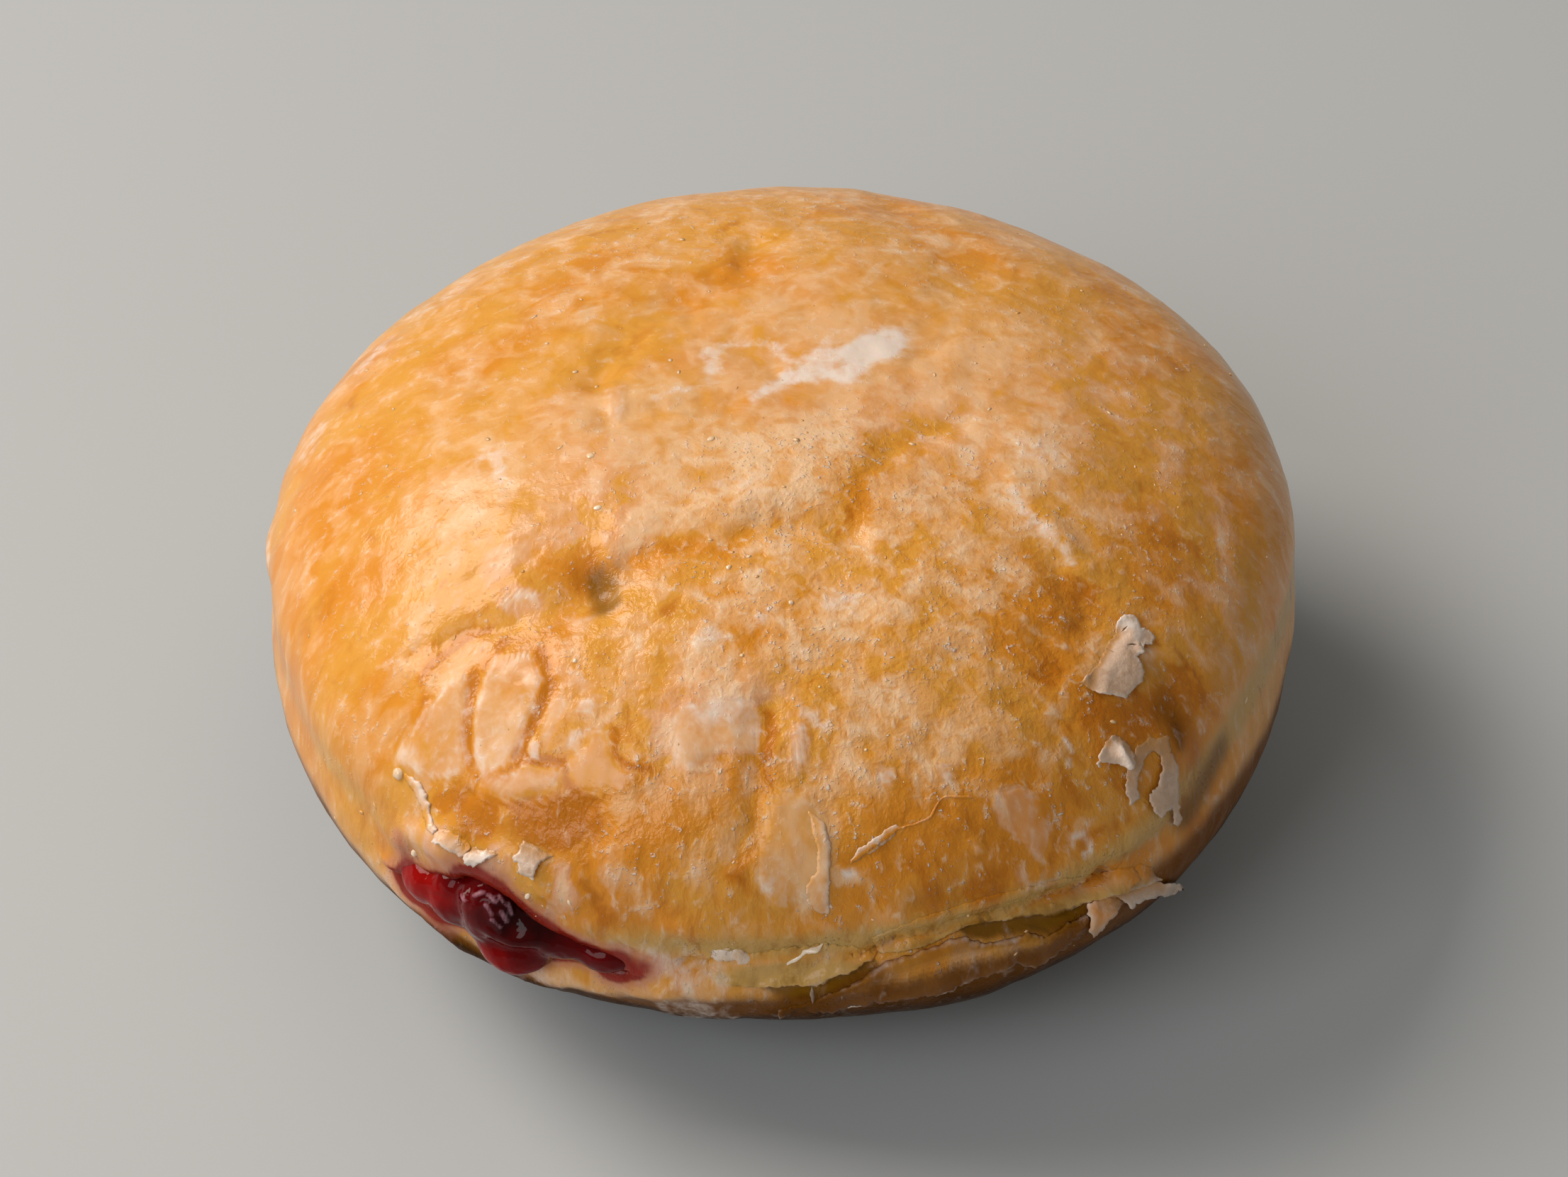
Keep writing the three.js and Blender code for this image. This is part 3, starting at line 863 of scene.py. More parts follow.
@dataclass(frozen=True)
class FruitJam:
    """Dark red berry jam, boiled with pectin and still wet: glassy, and glowing red where it is thin."""

    name: str = "Wet red fruit jam"
    bright: str = "8C0704"
    deep: str = "5E0306"
    dark_and_shade: str = "2A0203"
    painted_crest_highlight: str = "C69AAA"
    clots: Lumps = Lumps(3.5, 2.0)
    ripples: Lumps = Lumps(1.3, 1.0, warp=0.6)
    bump: float = 1.0  # millimetres
    glow_reach: float = 1.4  # millimetres

    def make(self) -> bpy.types.Material:
        """Builds the material.

        Returns:
            The material; the stain layer is 1 where the jam is thin and drops under the painted shadow of
            the upper lip, and the white layer is a painted highlight on its crests.
        """
        r = Recipe(self.name)
        thin, crests = r.read(Layer.STAIN, Layer.WHITE)
        clots, ripples = (r.add(Kind.LUMPS, r.where, *lumps.inputs) for lumps in (self.clots, self.ripples))
        depth = r.sum((clots, 0.6), (thin, -0.6))
        colour = r.coats(
            self.bright,
            (self.deep, r.add(Kind.FIT, depth, -0.2, 0.2)),
            # Darker where the jam is deep, and painted shadow under the upper lip.
            (self.dark_and_shade, r.add(Kind.FIT, depth, 0.25, 0.6)),
            # Painted highlights on the crests of the knobs and the ripples.
            (self.painted_crest_highlight, r.add(Kind.FIT, r.sum((crests, 1.0), (ripples, 0.8)), 0.9, 1.6, 0.0, 0.55)),
        )
        return r.finish(
            Base_Color=colour,
            Roughness=0.06,
            IOR=1.36,
            Specular_IOR_Level=0.22,
            Normal=r.add(Kind.BUMP, r.sum((clots, 0.5), (ripples, 0.1)), self.bump * MM),
            Subsurface_Weight=0.5,
            Subsurface_Radius=(1.0, 0.05, 0.03),
            Subsurface_Scale=self.glow_reach * MM,
        )


@dataclass(frozen=True)
class MatteFloor:
    """A pale painted board, matte and plain."""

    name: str = "Pale matte board"
    colour: str = "B4B8BB"
    grain: Lumps = Lumps(16.0, 5.0)
    bump: float = 1.0  # millimetres
    strength: float = 0.04

    def make(self) -> bpy.types.Material:
        """Builds the material.

        Returns:
            The material.
        """
        r = Recipe(self.name)
        grain = r.add(Kind.LUMPS, r.where, *self.grain.inputs)
        bumps = r.add(Kind.BUMP, grain, self.bump * MM, self.strength)
        return r.finish(Base_Color=srgb(self.colour), Roughness=0.65, Normal=bumps)


def lay_aside() -> None:
    """Leaves nothing selected, so that the next operator works on its own piece alone."""
    if bpy.context.object and bpy.context.object.mode != "OBJECT":
        bpy.ops.object.mode_set(mode="OBJECT")
    bpy.ops.object.select_all(action="DESELECT")


@dataclass
class Pantry:
    """The finishes, each made once, and the way in which a piece gets one."""

    def __post_init__(self) -> None:
        """Makes every finish."""
        self.finishes = {
            Finish.CRUST: GlazedCrust().make(),
            Finish.SKIN: GlazedCrust("Thin skin of dried sugar glaze", glow=0.0).make(),
            Finish.CURL: CurledGlaze().make(),
            Finish.SUGAR: DriedSugar().make(),
            Finish.JAM: FruitJam().make(),
        }

    def dress(self, piece: bpy.types.Object, name: str, finish: Finish) -> bpy.types.Object:
        """Names a piece, gives it its finish and lets it ride on the doughnut.

        Args:
            piece: The object.
            name: Its name.
            finish: Its finish.

        Returns:
            The object.
        """
        piece.name = name
        piece.data.name = name
        piece.data.materials.clear()
        piece.data.materials.append(self.finishes[finish])
        for polygon in piece.data.polygons:
            polygon.use_smooth = True
        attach(piece, "root")
        log.info("%s: %d faces", name, len(piece.data.polygons))
        return piece


def write_layer(mesh: bpy.types.Mesh, layer: Layer, values: np.ndarray) -> None:
    """Stores a layer on the vertices of a mesh.

    Args:
        mesh: The mesh.
        layer: Which layer.
        values: One number for each vertex.
    """
    stored = mesh.attributes.get(layer.value) or mesh.attributes.new(layer.value, "FLOAT", "POINT")
    stored.data.foreach_set("value", np.asarray(values, np.float32))


def read_points(mesh: bpy.types.Mesh) -> np.ndarray:
    """The vertices of a mesh, one in each row."""
    flat = np.empty(len(mesh.vertices) * 3, np.float32)
    mesh.vertices.foreach_get("co", flat)
    return flat.reshape(-1, 3).astype(float)


def write_points(mesh: bpy.types.Mesh, points: np.ndarray) -> None:
    """Moves the vertices of a mesh to the rows of an array."""
    mesh.vertices.foreach_set("co", np.asarray(points, np.float32).ravel())
    mesh.update()


def new_piece(name: str, points: np.ndarray, faces: list[tuple[int, ...]]) -> bpy.types.Object:
    """Makes an object from points and faces, with its faces turned outwards.

    Args:
        name: The object's name.
        points: Places in millimetres, one in each row.
        faces: The corners of each face.

    Returns:
        The object, in metres.
    """
    mesh = bpy.data.meshes.new(name)
    mesh.from_pydata((points * MM).tolist(), [], faces)
    piece = bpy.data.objects.new(name, mesh)
    bpy.context.collection.objects.link(piece)
    lay_aside()
    piece.select_set(True)
    bpy.context.view_layer.objects.active = piece
    bpy.ops.object.mode_set(mode="EDIT")
    bpy.ops.mesh.select_all(action="SELECT")
    bpy.ops.mesh.normals_make_consistent(inside=False)
    bpy.ops.object.mode_set(mode="OBJECT")
    return piece


@dataclass(frozen=True)
class Mark:
    """A mark on the crust along some pixels of the photograph."""

    amount: float
    spread: float  # millimetres
    path: tuple[Pixel, ...]


@dataclass(frozen=True)
class Patch:
    """A place where the glaze has dried into a smoother skin with a soft edge, outlined in pixels."""

    outline: tuple[Pixel, ...]
    rise: float = 0.14  # millimetres
    film: float = 0.8
    pink: float = 0.7
    white: float = 0.0
    edge: float = 0.5  # how wide its edge is, in millimetres
    # How much painted olive shade darkens the patch.
    hollow: float = 0.0

    def inset(self, pixels: np.ndarray, wander: np.ndarray) -> np.ndarray:
        """How far inside the outline some pixels are.

        Args:
            pixels: Across and down in the photograph, one in each row.
            wander: How far the edge strays at each pixel, in millimetres.

        Returns:
            Millimetres, negative outside.
        """
        corners = np.array(self.outline, float)
        found = np.full(len(pixels), -99.0)
        near = ((pixels > corners.min(0) - MARGIN) & (pixels < corners.max(0) + MARGIN)).all(1)
        pixels = pixels[near]
        far = near_line(pixels * PIXEL, np.vstack([corners, corners[:1]]) * PIXEL)
        found[near] = np.where(inside(pixels, corners), far, -far) + wander[near]
        return found

    def share(self, inset: np.ndarray) -> np.ndarray:
        """How much of the skin there is at each distance inside the outline, from 0 to 1."""
        return ramp(inset, -self.edge / 2, self.edge / 2)


@dataclass
class Crust:
    """The whole crust of the doughnut: the dome, the waist with its mouth, and the underside."""

    bun: Bun = field(default_factory=Bun)
    mouth: Mouth = field(default_factory=Mouth)
    cuts: int = 100
    fine_towards: Size = (-0.1, -0.4, 0.22)  # the mesh is finest on this side
    insets: list[np.ndarray] = field(init=False)
    ground: Ground = field(init=False)
    # Deep orange: cracks and creases where little glaze has stayed, and painted shade in hollows, under the
    # lifted plates and beside the flakes.
    bare: tuple[Mark, ...] = (
        Mark(-0.9, 1.6, ((770, 1152), (842, 1164), (790, 1180))),
        Mark(-2.8, 1.1, ((768, 1150), (790, 1176))),
        Mark(-2.8, 0.5, ((668, 955), (661, 1000), (659, 1040), (664, 1078))),
        Mark(-2.6, 0.5, ((760, 930), (778, 960), (762, 1000), (745, 1030), (733, 1066))),
        Mark(-2.4, 0.42, ((733, 1070), (792, 1078))),
        Mark(-1.8, 0.4, ((592, 960), (615, 930), (650, 905), (690, 890))),
        Mark(-2.2, 0.4, ((672, 1097), (714, 1089), (733, 1077))),
        Mark(-2.0, 0.4, ((797, 1078), (799, 1098), (820, 1122))),
        Mark(-1.8, 0.4, ((684, 940), (700, 925), (706, 908))),
        Mark(-1.8, 0.5, ((862, 1030), (866, 1064), (884, 1082), (915, 1080))),
        Mark(-0.4, 2.4, ((925, 1125), (940, 1150), (915, 1175))),
        Mark(-0.9, 3.5, ((1680, 1000), (1690, 1110))),
        Mark(-1.6, 0.4, ((600, 985), (585, 1010))),
        Mark(-1.4, 2.2, ((640, 1130), (680, 1160), (730, 1160), (810, 1150))),
        Mark(-0.6, 3.0, ((1540, 840), (1560, 790))),
        Mark(-1.3, 1.3, ((905, 790), (945, 769), (1000, 775), (1030, 778), (1051, 757))),
        Mark(-0.9, 1.5, ((1192, 755), (1205, 720), (1222, 670), (1240, 630), (1300, 614), (1345, 600))),
        Mark(-1.1, 2.2, ((1064, 371), (1040, 400))),
        Mark(-0.9, 2.0, ((857, 517), (880, 500), (900, 480))),
        Mark(-0.8, 3.0, ((1034, 570), (1120, 560))),
        Mark(-1.0, 2.6, ((1455, 900), (1480, 930), (1470, 870))),
        Mark(-1.3, 2.2, ((1660, 960), (1640, 1010), (1560, 1010))),
        Mark(-1.0, 2.6, ((1640, 745), (1660, 760))),
        Mark(-1.7, 0.9, ((1086, 1005), (1085, 1100), (1072, 1180), (1035, 1235))),
        Mark(-0.7, 4.0, ((1250, 1240), (1350, 1230), (1300, 1130))),
        Mark(-0.7, 4.0, ((900, 1250), (960, 1290))),
        Mark(-0.4, 6.0, ((480, 800), (460, 940), (520, 640))),
        Mark(-0.6, 6.0, ((1400, 1250), (1480, 1150), (1550, 1100))),
        Mark(-1.0, 2.4, ((800, 812), (824, 806))),
        Mark(-1.2, 2.0, ((862, 1290), (900, 1322))),
    )
    # Tan and cream: where the film is thick.
    filmed: tuple[Mark, ...] = (
        Mark(0.8, 4.0, ((1405, 610), (1478, 640))),
        Mark(0.7, 3.0, ((1042, 686), (960, 705))),
        Mark(0.9, 2.4, ((953, 1010), (1072, 1000), (1010, 1050))),
        Mark(0.8, 3.0, ((1100, 1150), (1120, 1260))),
        Mark(0.25, 3.0, ((1260, 860), (1330, 830), (1200, 850))),
        Mark(0.5, 5.0, ((600, 560), (700, 650))),
        Mark(0.5, 4.0, ((1250, 1000), (1300, 1060), (1200, 1090))),
        Mark(0.9, 1.3, ((872, 769), (896, 735), (940, 732), (975, 720), (1042, 706), (1119, 672))),
        Mark(0.15, 3.0, ((1090, 930), (1120, 950))),
        Mark(0.9, 6.0, ((1130, 480), (1300, 540), (1400, 480), (960, 600))),
        Mark(0.2, 1.8, ((690, 1225), (745, 1272), (800, 1315), (870, 1345), (950, 1385))),
        Mark(0.8, 1.4, ((580, 1280), (650, 1330), (740, 1370), (800, 1385))),
    )
    # Darker crust that is painted shade: under the ledges, at the foot, under the jam, in the dimple,
    # beside the upright flake and in the hollows of the right side.
    painted_shade: tuple[Mark, ...] = (
        Mark(0.2, 1.4, ((876, 806), (884, 830), (880, 852))),
        Mark(0.4, 1.7, ((838, 812), (847, 858))),
        Mark(0.3, 2.2, ((1636, 950), (1640, 990))),
        Mark(0.18, 0.8, ((1660, 1028), (1664, 1050))),
        Mark(0.12, 1.6, ((1240, 1392), (1340, 1366), (1440, 1340), (1500, 1318))),
        Mark(1.2, 1.8, ((560, 1285), (620, 1318), (670, 1350))),
        Mark(1.1, 1.4, ((690, 1370), (760, 1394), (850, 1410), (920, 1424))),
        Mark(0.3, 2.5, ((1300, 1275), (1400, 1255))),
        Mark(0.25, 3.0, ((1668, 1030), (1690, 1090))),
        Mark(0.5, 1.0, ((1360, 1312), (1400, 1310), (1444, 1303), (1500, 1292), (1530, 1284))),
        Mark(0.5, 0.8, ((1130, 1398), (1180, 1388), (1235, 1366))),
    )
    # Painted olive shade in the dimple and along the right.
    olive_shade: tuple[Mark, ...] = (
        Mark(0.65, 1.2, ((840, 822), (850, 860))),
        Mark(0.45, 0.8, ((866, 815), (872, 850))),
        Mark(0.8, 2.2, ((1672, 1150), (1700, 1100), (1720, 1060))),
    )
    # Rosy film at the left of the middle, over the jam and at the right.
    rosy: tuple[Mark, ...] = (
        Mark(1.0, 5.0, ((830, 640), (840, 720))),
        Mark(0.9, 5.0, ((740, 840), (690, 800))),
        Mark(1.0, 3.5, ((1670, 1034), (1650, 1090))),
        Mark(0.8, 4.0, ((960, 1020), (1060, 1020))),
        Mark(0.9, 4.0, ((620, 1150), (720, 1190), (800, 1250))),
        Mark(0.6, 1.8, ((690, 1225), (745, 1272), (800, 1315), (870, 1345), (950, 1385))),
        Mark(0.8, 8.0, ((1100, 500), (1300, 560))),
        Mark(0.8, 8.0, ((1560, 560), (1700, 760))),
    )
    # White smears and blots of thick glaze, with painted sheen along the left outline and painted glints.
    white: tuple[Mark, ...] = (
        Mark(1.1, 1.1, ((1262, 470), (1235, 484), (1205, 505), (1192, 526))),
        Mark(0.8, 0.8, ((1238, 476), (1212, 488), (1180, 500), (1150, 518), (1110, 530))),
        Mark(0.9, 0.9, ((1266, 486), (1240, 500), (1214, 514))),
        Mark(0.8, 0.75, ((1200, 530), (1160, 528), (1110, 538), (1085, 547), (1066, 560))),
        Mark(0.5, 0.35, ((1012, 540), (960, 548), (920, 560))),
        Mark(0.65, 0.7, ((1030, 484), (1060, 486), (1090, 484), (1104, 502))),
        Mark(0.65, 0.8, ((1168, 484), (1150, 500), (1120, 512))),
        Mark(0.7, 0.9, ((1000, 494), (1006, 520))),
        Mark(0.65, 0.7, ((1430, 694), (1440, 715), (1459, 735), (1480, 752), (1497, 769), (1512, 792))),
        Mark(0.5, 1.4, ((1440, 635), (1490, 640))),
        Mark(0.6, 0.8, ((672, 650), (690, 640), (700, 645), (705, 675))),
        Mark(0.3, 1.2, ((1010, 684), (1075, 684))),
        Mark(0.6, 0.7, ((980, 905), (1000, 890), (1022, 900))),
        Mark(0.5, 0.8, ((1060, 880), (1085, 866))),
        Mark(0.6, 0.8, ((1170, 848), (1200, 842))),
        Mark(0.6, 0.9, ((1138, 1005), (1165, 1025))),
        # Painted sheen along the left outline, and a painted highlight on the bump at the left edge.
        Mark(0.5, 1.6, ((438, 636), (450, 610))),
        Mark(0.6, 1.1, ((512, 518), (541, 486), (536, 498))),
        Mark(0.45, 2.0, ((596, 436), (622, 424))),
        Mark(0.6, 1.0, ((372, 740), (378, 790))),
        Mark(0.5, 1.2, ((985, 1005), (1045, 1004))),
        Mark(0.9, 0.45, ((1508, 1196), (1514, 1180), (1528, 1178), (1538, 1196), (1530, 1206))),
        # A thin painted glint.
        Mark(0.8, 0.4, ((1506, 1042), (1512, 1060), (1508, 1078))),
        Mark(0.7, 0.8, ((1228, 486), (1250, 492))),
        Mark(0.6, 0.5, ((1440, 1232), (1446, 1250), (1480, 1246), (1490, 1238))),
        Mark(0.42, 1.6, ((900, 1345), (960, 1375), (1010, 1380))),
        Mark(0.45, 1.1, ((1078, 1250), (1105, 1268))),
        Mark(0.4, 0.9, ((1086, 1205), (1093, 1232))),
    )
    # Jam under the glaze round the mouth.
    stained: tuple[Mark, ...] = (
        Mark(0.55, 1.4, ((563, 1185), (575, 1215), (580, 1250))),
        Mark(0.5, 1.3, ((655, 1228), (700, 1246), (745, 1285), (790, 1320))),
        Mark(0.6, 1.5, ((880, 1350), (905, 1362))),
        Mark(0.15, 2.0, ((620, 1215), (600, 1190))),
    )

    patches: tuple[Patch, ...] = (
        # The smooth cracked plates at the front left.
        Patch(
            ((555, 1078), (566, 1046), (578, 1036), (593, 1004), (612, 992), (627, 961), (646, 951),
             (666, 954), (662, 983), (656, 1019), (660, 1060), (665, 1078), (651, 1087), (637, 1099),
             (608, 1096), (574, 1082)),
            film=1.1, pink=0.5, white=0.24,
        ),
        Patch(
            ((674, 978), (690, 940), (704, 922), (748, 922), (762, 940), (768, 960), (758, 985),
             (746, 1019), (738, 1050), (728, 1075), (700, 1090), (678, 1096), (670, 1065), (668, 1019)),
            film=1.1, pink=0.5, white=0.22,
        ),
        Patch(
            ((676, 1097), (714, 1089), (735, 1077), (794, 1079), (797, 1094), (778, 1128), (760, 1131),
             (719, 1130), (700, 1128), (672, 1122)),
            film=1.0, pink=0.8, white=0.14,
        ),
        Patch(
            ((797, 1072), (828, 1044), (852, 1022), (862, 1032), (866, 1065), (879, 1077), (900, 1090),
             (880, 1105), (840, 1123), (823, 1120), (799, 1096)),
            film=1.0, pink=0.9, white=0.12,
        ),
        # Smears of glaze between the plates and the dimple.
        Patch(
            ((770, 1000), (778, 985), (795, 975), (800, 990), (790, 1020), (780, 1050), (768, 1052),
             (764, 1030)),
            0.06, 0.9,
        ),
        Patch(
            ((812, 990), (835, 985), (846, 998), (835, 1010), (822, 1006), (812, 1012)), 0.2, 0.9,
            white=0.3, edge=0.4,
        ),
        Patch(
            ((795, 1048), (812, 1032), (840, 1024), (848, 1032), (822, 1044), (804, 1060)), 0.12, 0.9,
            white=0.25, edge=0.4,
        ),
        Patch(
            ((775, 950), (800, 938), (842, 966), (860, 985), (846, 992), (815, 970), (790, 965)), 0.12,
            0.9, white=0.1,
        ),
        Patch(
            ((746, 1052), (754, 1040), (758, 1060), (766, 1068), (748, 1074)), 0.25, 0.9, white=0.5,
            edge=0.3,
        ),
        # The patches and plates at the front.
        Patch(
            ((946, 998), (1000, 988), (1063, 987), (1074, 1015), (1068, 1066), (1020, 1055), (985, 1082),
             (952, 1080)),
            0.15, 1.0, 0.7, 0.14, 0.6,
        ),
        Patch(
            ((1064, 1200), (1075, 1160), (1085, 1130), (1110, 1112), (1141, 1122), (1162, 1152),
             (1172, 1193), (1169, 1288), (1144, 1280), (1134, 1263), (1120, 1272), (1096, 1286),
             (1082, 1270), (1068, 1242)),
            0.2, 0.25, 0.2, 0.0,
        ),
        Patch(
            ((1410, 1112), (1402, 1140), (1404, 1160), (1424, 1176), (1448, 1196), (1464, 1216),
             (1474, 1234), (1478, 1205), (1486, 1165), (1478, 1130), (1440, 1108)),
            0.15, 0.7, 0.7, 0.1, 0.4,
        ),
        Patch(((1188, 1230), (1200, 1222), (1212, 1226), (1204, 1238), (1192, 1240)), 0.12, white=0.6),
        Patch(
            ((1232, 1088), (1250, 1080), (1262, 1086), (1256, 1104), (1244, 1112), (1238, 1100)), 0.15,
            white=0.4,
        ),
        Patch(((1322, 1088), (1330, 1078), (1344, 1084), (1346, 1096), (1334, 1100)), 0.2, white=0.5),
        Patch(
            ((1122, 1030), (1136, 1022), (1140, 1050), (1130, 1080), (1118, 1090), (1120, 1056)), 0.2,
            white=0.4,
        ),
        Patch(
            ((1368, 1192), (1378, 1186), (1388, 1194), (1384, 1204), (1372, 1202)), 0.3, pink=1.0,
            white=0.1,
        ),
        Patch(
            ((705, 850), (716, 842), (728, 836), (748, 831), (764, 838), (756, 848), (742, 843), (726, 851),
             (712, 857)),
            0.1, 1.0, 1.0, 0.4, 0.4,
        ),
        Patch(
            ((1602, 918), (1625, 912), (1648, 916), (1670, 931), (1666, 939), (1645, 929), (1625, 925),
             (1606, 930)),
            0.25, 0.8, 1.0,
        ),
        # The lip sheet over the jam, the hollow between the ledges, and the gap under the short ledge; the
        # last two are darkened with painted olive shade.
        Patch(
            ((575, 1165), (590, 1160), (604, 1170), (625, 1190), (645, 1205), (662, 1214), (658, 1226),
             (648, 1232), (636, 1232), (622, 1228), (610, 1221), (592, 1205), (578, 1185)),
            0.2, 0.7, 0.8, 0.0, 0.8,
        ),
        Patch(
            ((1334, 1318), (1361, 1302), (1389, 1297), (1412, 1296), (1432, 1291), (1462, 1287),
             (1485, 1289), (1501, 1281), (1522, 1274), (1533, 1272), (1533, 1290), (1510, 1302),
             (1500, 1306), (1480, 1320), (1467, 1317), (1448, 1317), (1423, 1322), (1407, 1325),
             (1393, 1329), (1370, 1324), (1360, 1318)),
            rise=-0.6, film=0.2, pink=0.0, hollow=1.0,
        ),
        Patch(
            ((1070, 1395), (1141, 1388), (1168, 1379), (1200, 1368), (1230, 1352), (1244, 1352),
             (1222, 1374), (1190, 1392), (1149, 1408), (1110, 1412)),
            rise=-0.4, film=0.2, pink=0.0, hollow=0.8,
        ),
        # Thin drips that dried along the foot of the front.
        Patch(
            ((925, 1412), (952, 1408), (1000, 1416), (1046, 1430), (1030, 1446), (960, 1436), (930, 1424)),
            0.15, 1.0, 0.5, 0.25, 1.0,
        ),
        Patch(
            ((738, 1358), (756, 1364), (780, 1372), (797, 1380), (796, 1396), (760, 1384), (740, 1372)),
            0.15, 1.0, 0.5, 0.3, 0.8,
        ),
        # A bit of glaze near the top.
        Patch(
            ((853, 548), (866, 540), (880, 546), (882, 572), (874, 596), (858, 590)), 0.16, 0.9,
            white=0.1, edge=0.6,
        ),
    )

    def build(self) -> bpy.types.Object:
        """Models the crust from a cube that is cut finely, rounded and pressed into shape.

        Returns:
            The mesh object, in metres.
        """
        lay_aside()
        bpy.ops.mesh.primitive_cube_add(size=2)
        piece = bpy.context.object
        bpy.ops.object.mode_set(mode="EDIT")
        bpy.ops.mesh.select_all(action="SELECT")
        bpy.ops.mesh.subdivide(number_cuts=self.cuts)
        bpy.ops.object.mode_set(mode="OBJECT")
        points = read_points(piece.data)
        directions = np.tan(points * math.pi / 4)
        directions /= np.linalg.norm(directions, axis=1, keepdims=True)
        directions += np.array(self.fine_towards)
        directions /= np.linalg.norm(directions, axis=1, keepdims=True)
        azimuth = np.degrees(np.arctan2(directions[:, 1], directions[:, 0]))
        elevation = np.degrees(np.arcsin(np.clip(directions[:, 2], -1, 1)))
        smooth, normals = self.bun.smooth(azimuth, elevation)
        rise = self.bun.unevenness(smooth, azimuth, elevation)
        shaped = smooth + rise[:, None] * normals
        shaped = self.mouth.press(shaped, normals, azimuth, elevation)
        view = Viewpoint()
        pixels = view.pixels(shaped)
        wander = 0.2 * fractal(shaped, 1.6, 9.1, 3)
        seen = np.where(normals @ np.array(view.back) > 0, 0.0, -99.0)
        self.insets = [patch.inset(pixels, wander) + seen for patch in self.patches]
        for patch, inset in zip(self.patches, self.insets):
            step = patch.share(inset) - 0.2 * bell(inset + patch.edge, 0.35)
            shaped = shaped + (patch.rise * step)[:, None] * normals
        shaped = snug(shaped)
        shaped[:, 2] = np.maximum(shaped[:, 2], 0)
        write_points(piece.data, shaped * MM)
        faces = [tuple(polygon.vertices) for polygon in piece.data.polygons]
        self.ground = Ground(BVHTree.FromPolygons(shaped.tolist(), faces), self.bun, np.array(faces))
        self.ground.layers = self.colour(shaped, azimuth, elevation, rise)
        for layer, values in self.ground.layers.items():
            write_layer(piece.data, layer, values)
        return piece

    def marks(self) -> list[tuple[Layer, Mark]]:
        """Every mark, with the layer that it is written to."""
        groups = (
            (Layer.FILM, self.bare + self.filmed),
            (Layer.TOAST, self.painted_shade),
            (Layer.HOLLOW, self.olive_shade),
            (Layer.PINK, self.rosy),
            (Layer.WHITE, self.white),
            (Layer.STAIN, self.stained),
        )
        return [(layer, mark) for layer, group in groups for mark in group]

    def colour(
        self, points: np.ndarray, azimuth: np.ndarray, elevation: np.ndarray, rise: np.ndarray
    ) -> dict[Layer, np.ndarray]:
        """Works out the layers that the material reads.

        Args:
            points: The crust, in millimetres.
            azimuth: Azimuths of the points.
            elevation: Elevations of the points.
            rise: How far each stands out from the smooth bun.

        Returns:
            The layers.
        """
        layers = {layer: np.zeros(len(points)) for layer in Layer}
        front, back, left, lip, mouth = (
            bell(wrap(azimuth - towards), spread)
            for towards, spread in ((-75, 55), (90, 80), (-170, 40), (-122, 22), (self.mouth.azimuth, 16))
        )
        # The film is thicker towards the top and on what stands out, so hollows come out deeper orange,
        # partly as painted shade; it breaks up at the front and back.
        layers[Layer.FILM] += 0.1 + 0.3 * ramp(elevation, 30, 60) + 0.5 * np.clip(rise, -1.2, 0.8)
        broken = 0.78 * front * ramp(elevation, 84, 62) + 0.35 * back * ramp(elevation, 62, 40)
        layers[Layer.BLISTER] += 0.12 + broken
        # The pale band is wider at the back, and under it the crust gets darker step by step, most of all
        # under the mouth: partly fried darker, partly painted shade.
        over = elevation - self.bun.band(azimuth)
        wide = np.where(over > 1, 3.2, 2.6) + 2.4 * back
        layers[Layer.WAIST] += (0.95 - 0.2 * back - 0.45 * left - 0.3 * mouth) * bell(over - 1, wide)
        down = -over - 5 * lip - 2 * back
        layers[Layer.TOAST] += ramp(down, 2, 8) * 0.65 + ramp(down, 7, 22 - 5 * lip - 2 * back) * 1.1
        # The jam has soaked into the edge of the mouth.
        outside = np.maximum(self.mouth.depth(azimuth, elevation)[0], 0)
        layers[Layer.STAIN] += bell(outside, 0.9) + 0.2 * bell(outside, 3.5)
        for patch, inset in zip(self.patches, self.insets):
            share = patch.share(inset)
            layers[Layer.FILM] += share * (patch.film - layers[Layer.FILM])
            layers[Layer.PINK] = np.maximum(layers[Layer.PINK], patch.pink * share)
            layers[Layer.BLISTER] *= 1 - 0.8 * share
            layers[Layer.HOLLOW] = np.maximum(layers[Layer.HOLLOW], patch.hollow * share)
            layers[Layer.WHITE] += share * (patch.white + (patch.rise > 0) * 0.25 * bell(inset - 0.2, 0.4))
        for crack in self.bun.cracks:
            layers[Layer.FILM] -= 1.4 * bell(near_line(points, self.bun.line(crack.path)), 0.4)
        for layer, mark in self.marks():
            line = np.array([self.ground.under(pixel) for pixel in mark.path])
            near = near_line(points, line)
            if layer is Layer.WHITE:
                near = near + 0.25 * fractal(points, 1.5, 3.7, 2)
            layers[layer] += mark.amount * bell(near, mark.spread)
        return {layer: np.clip(values, -2.6, 1.2) for layer, values in layers.items()}


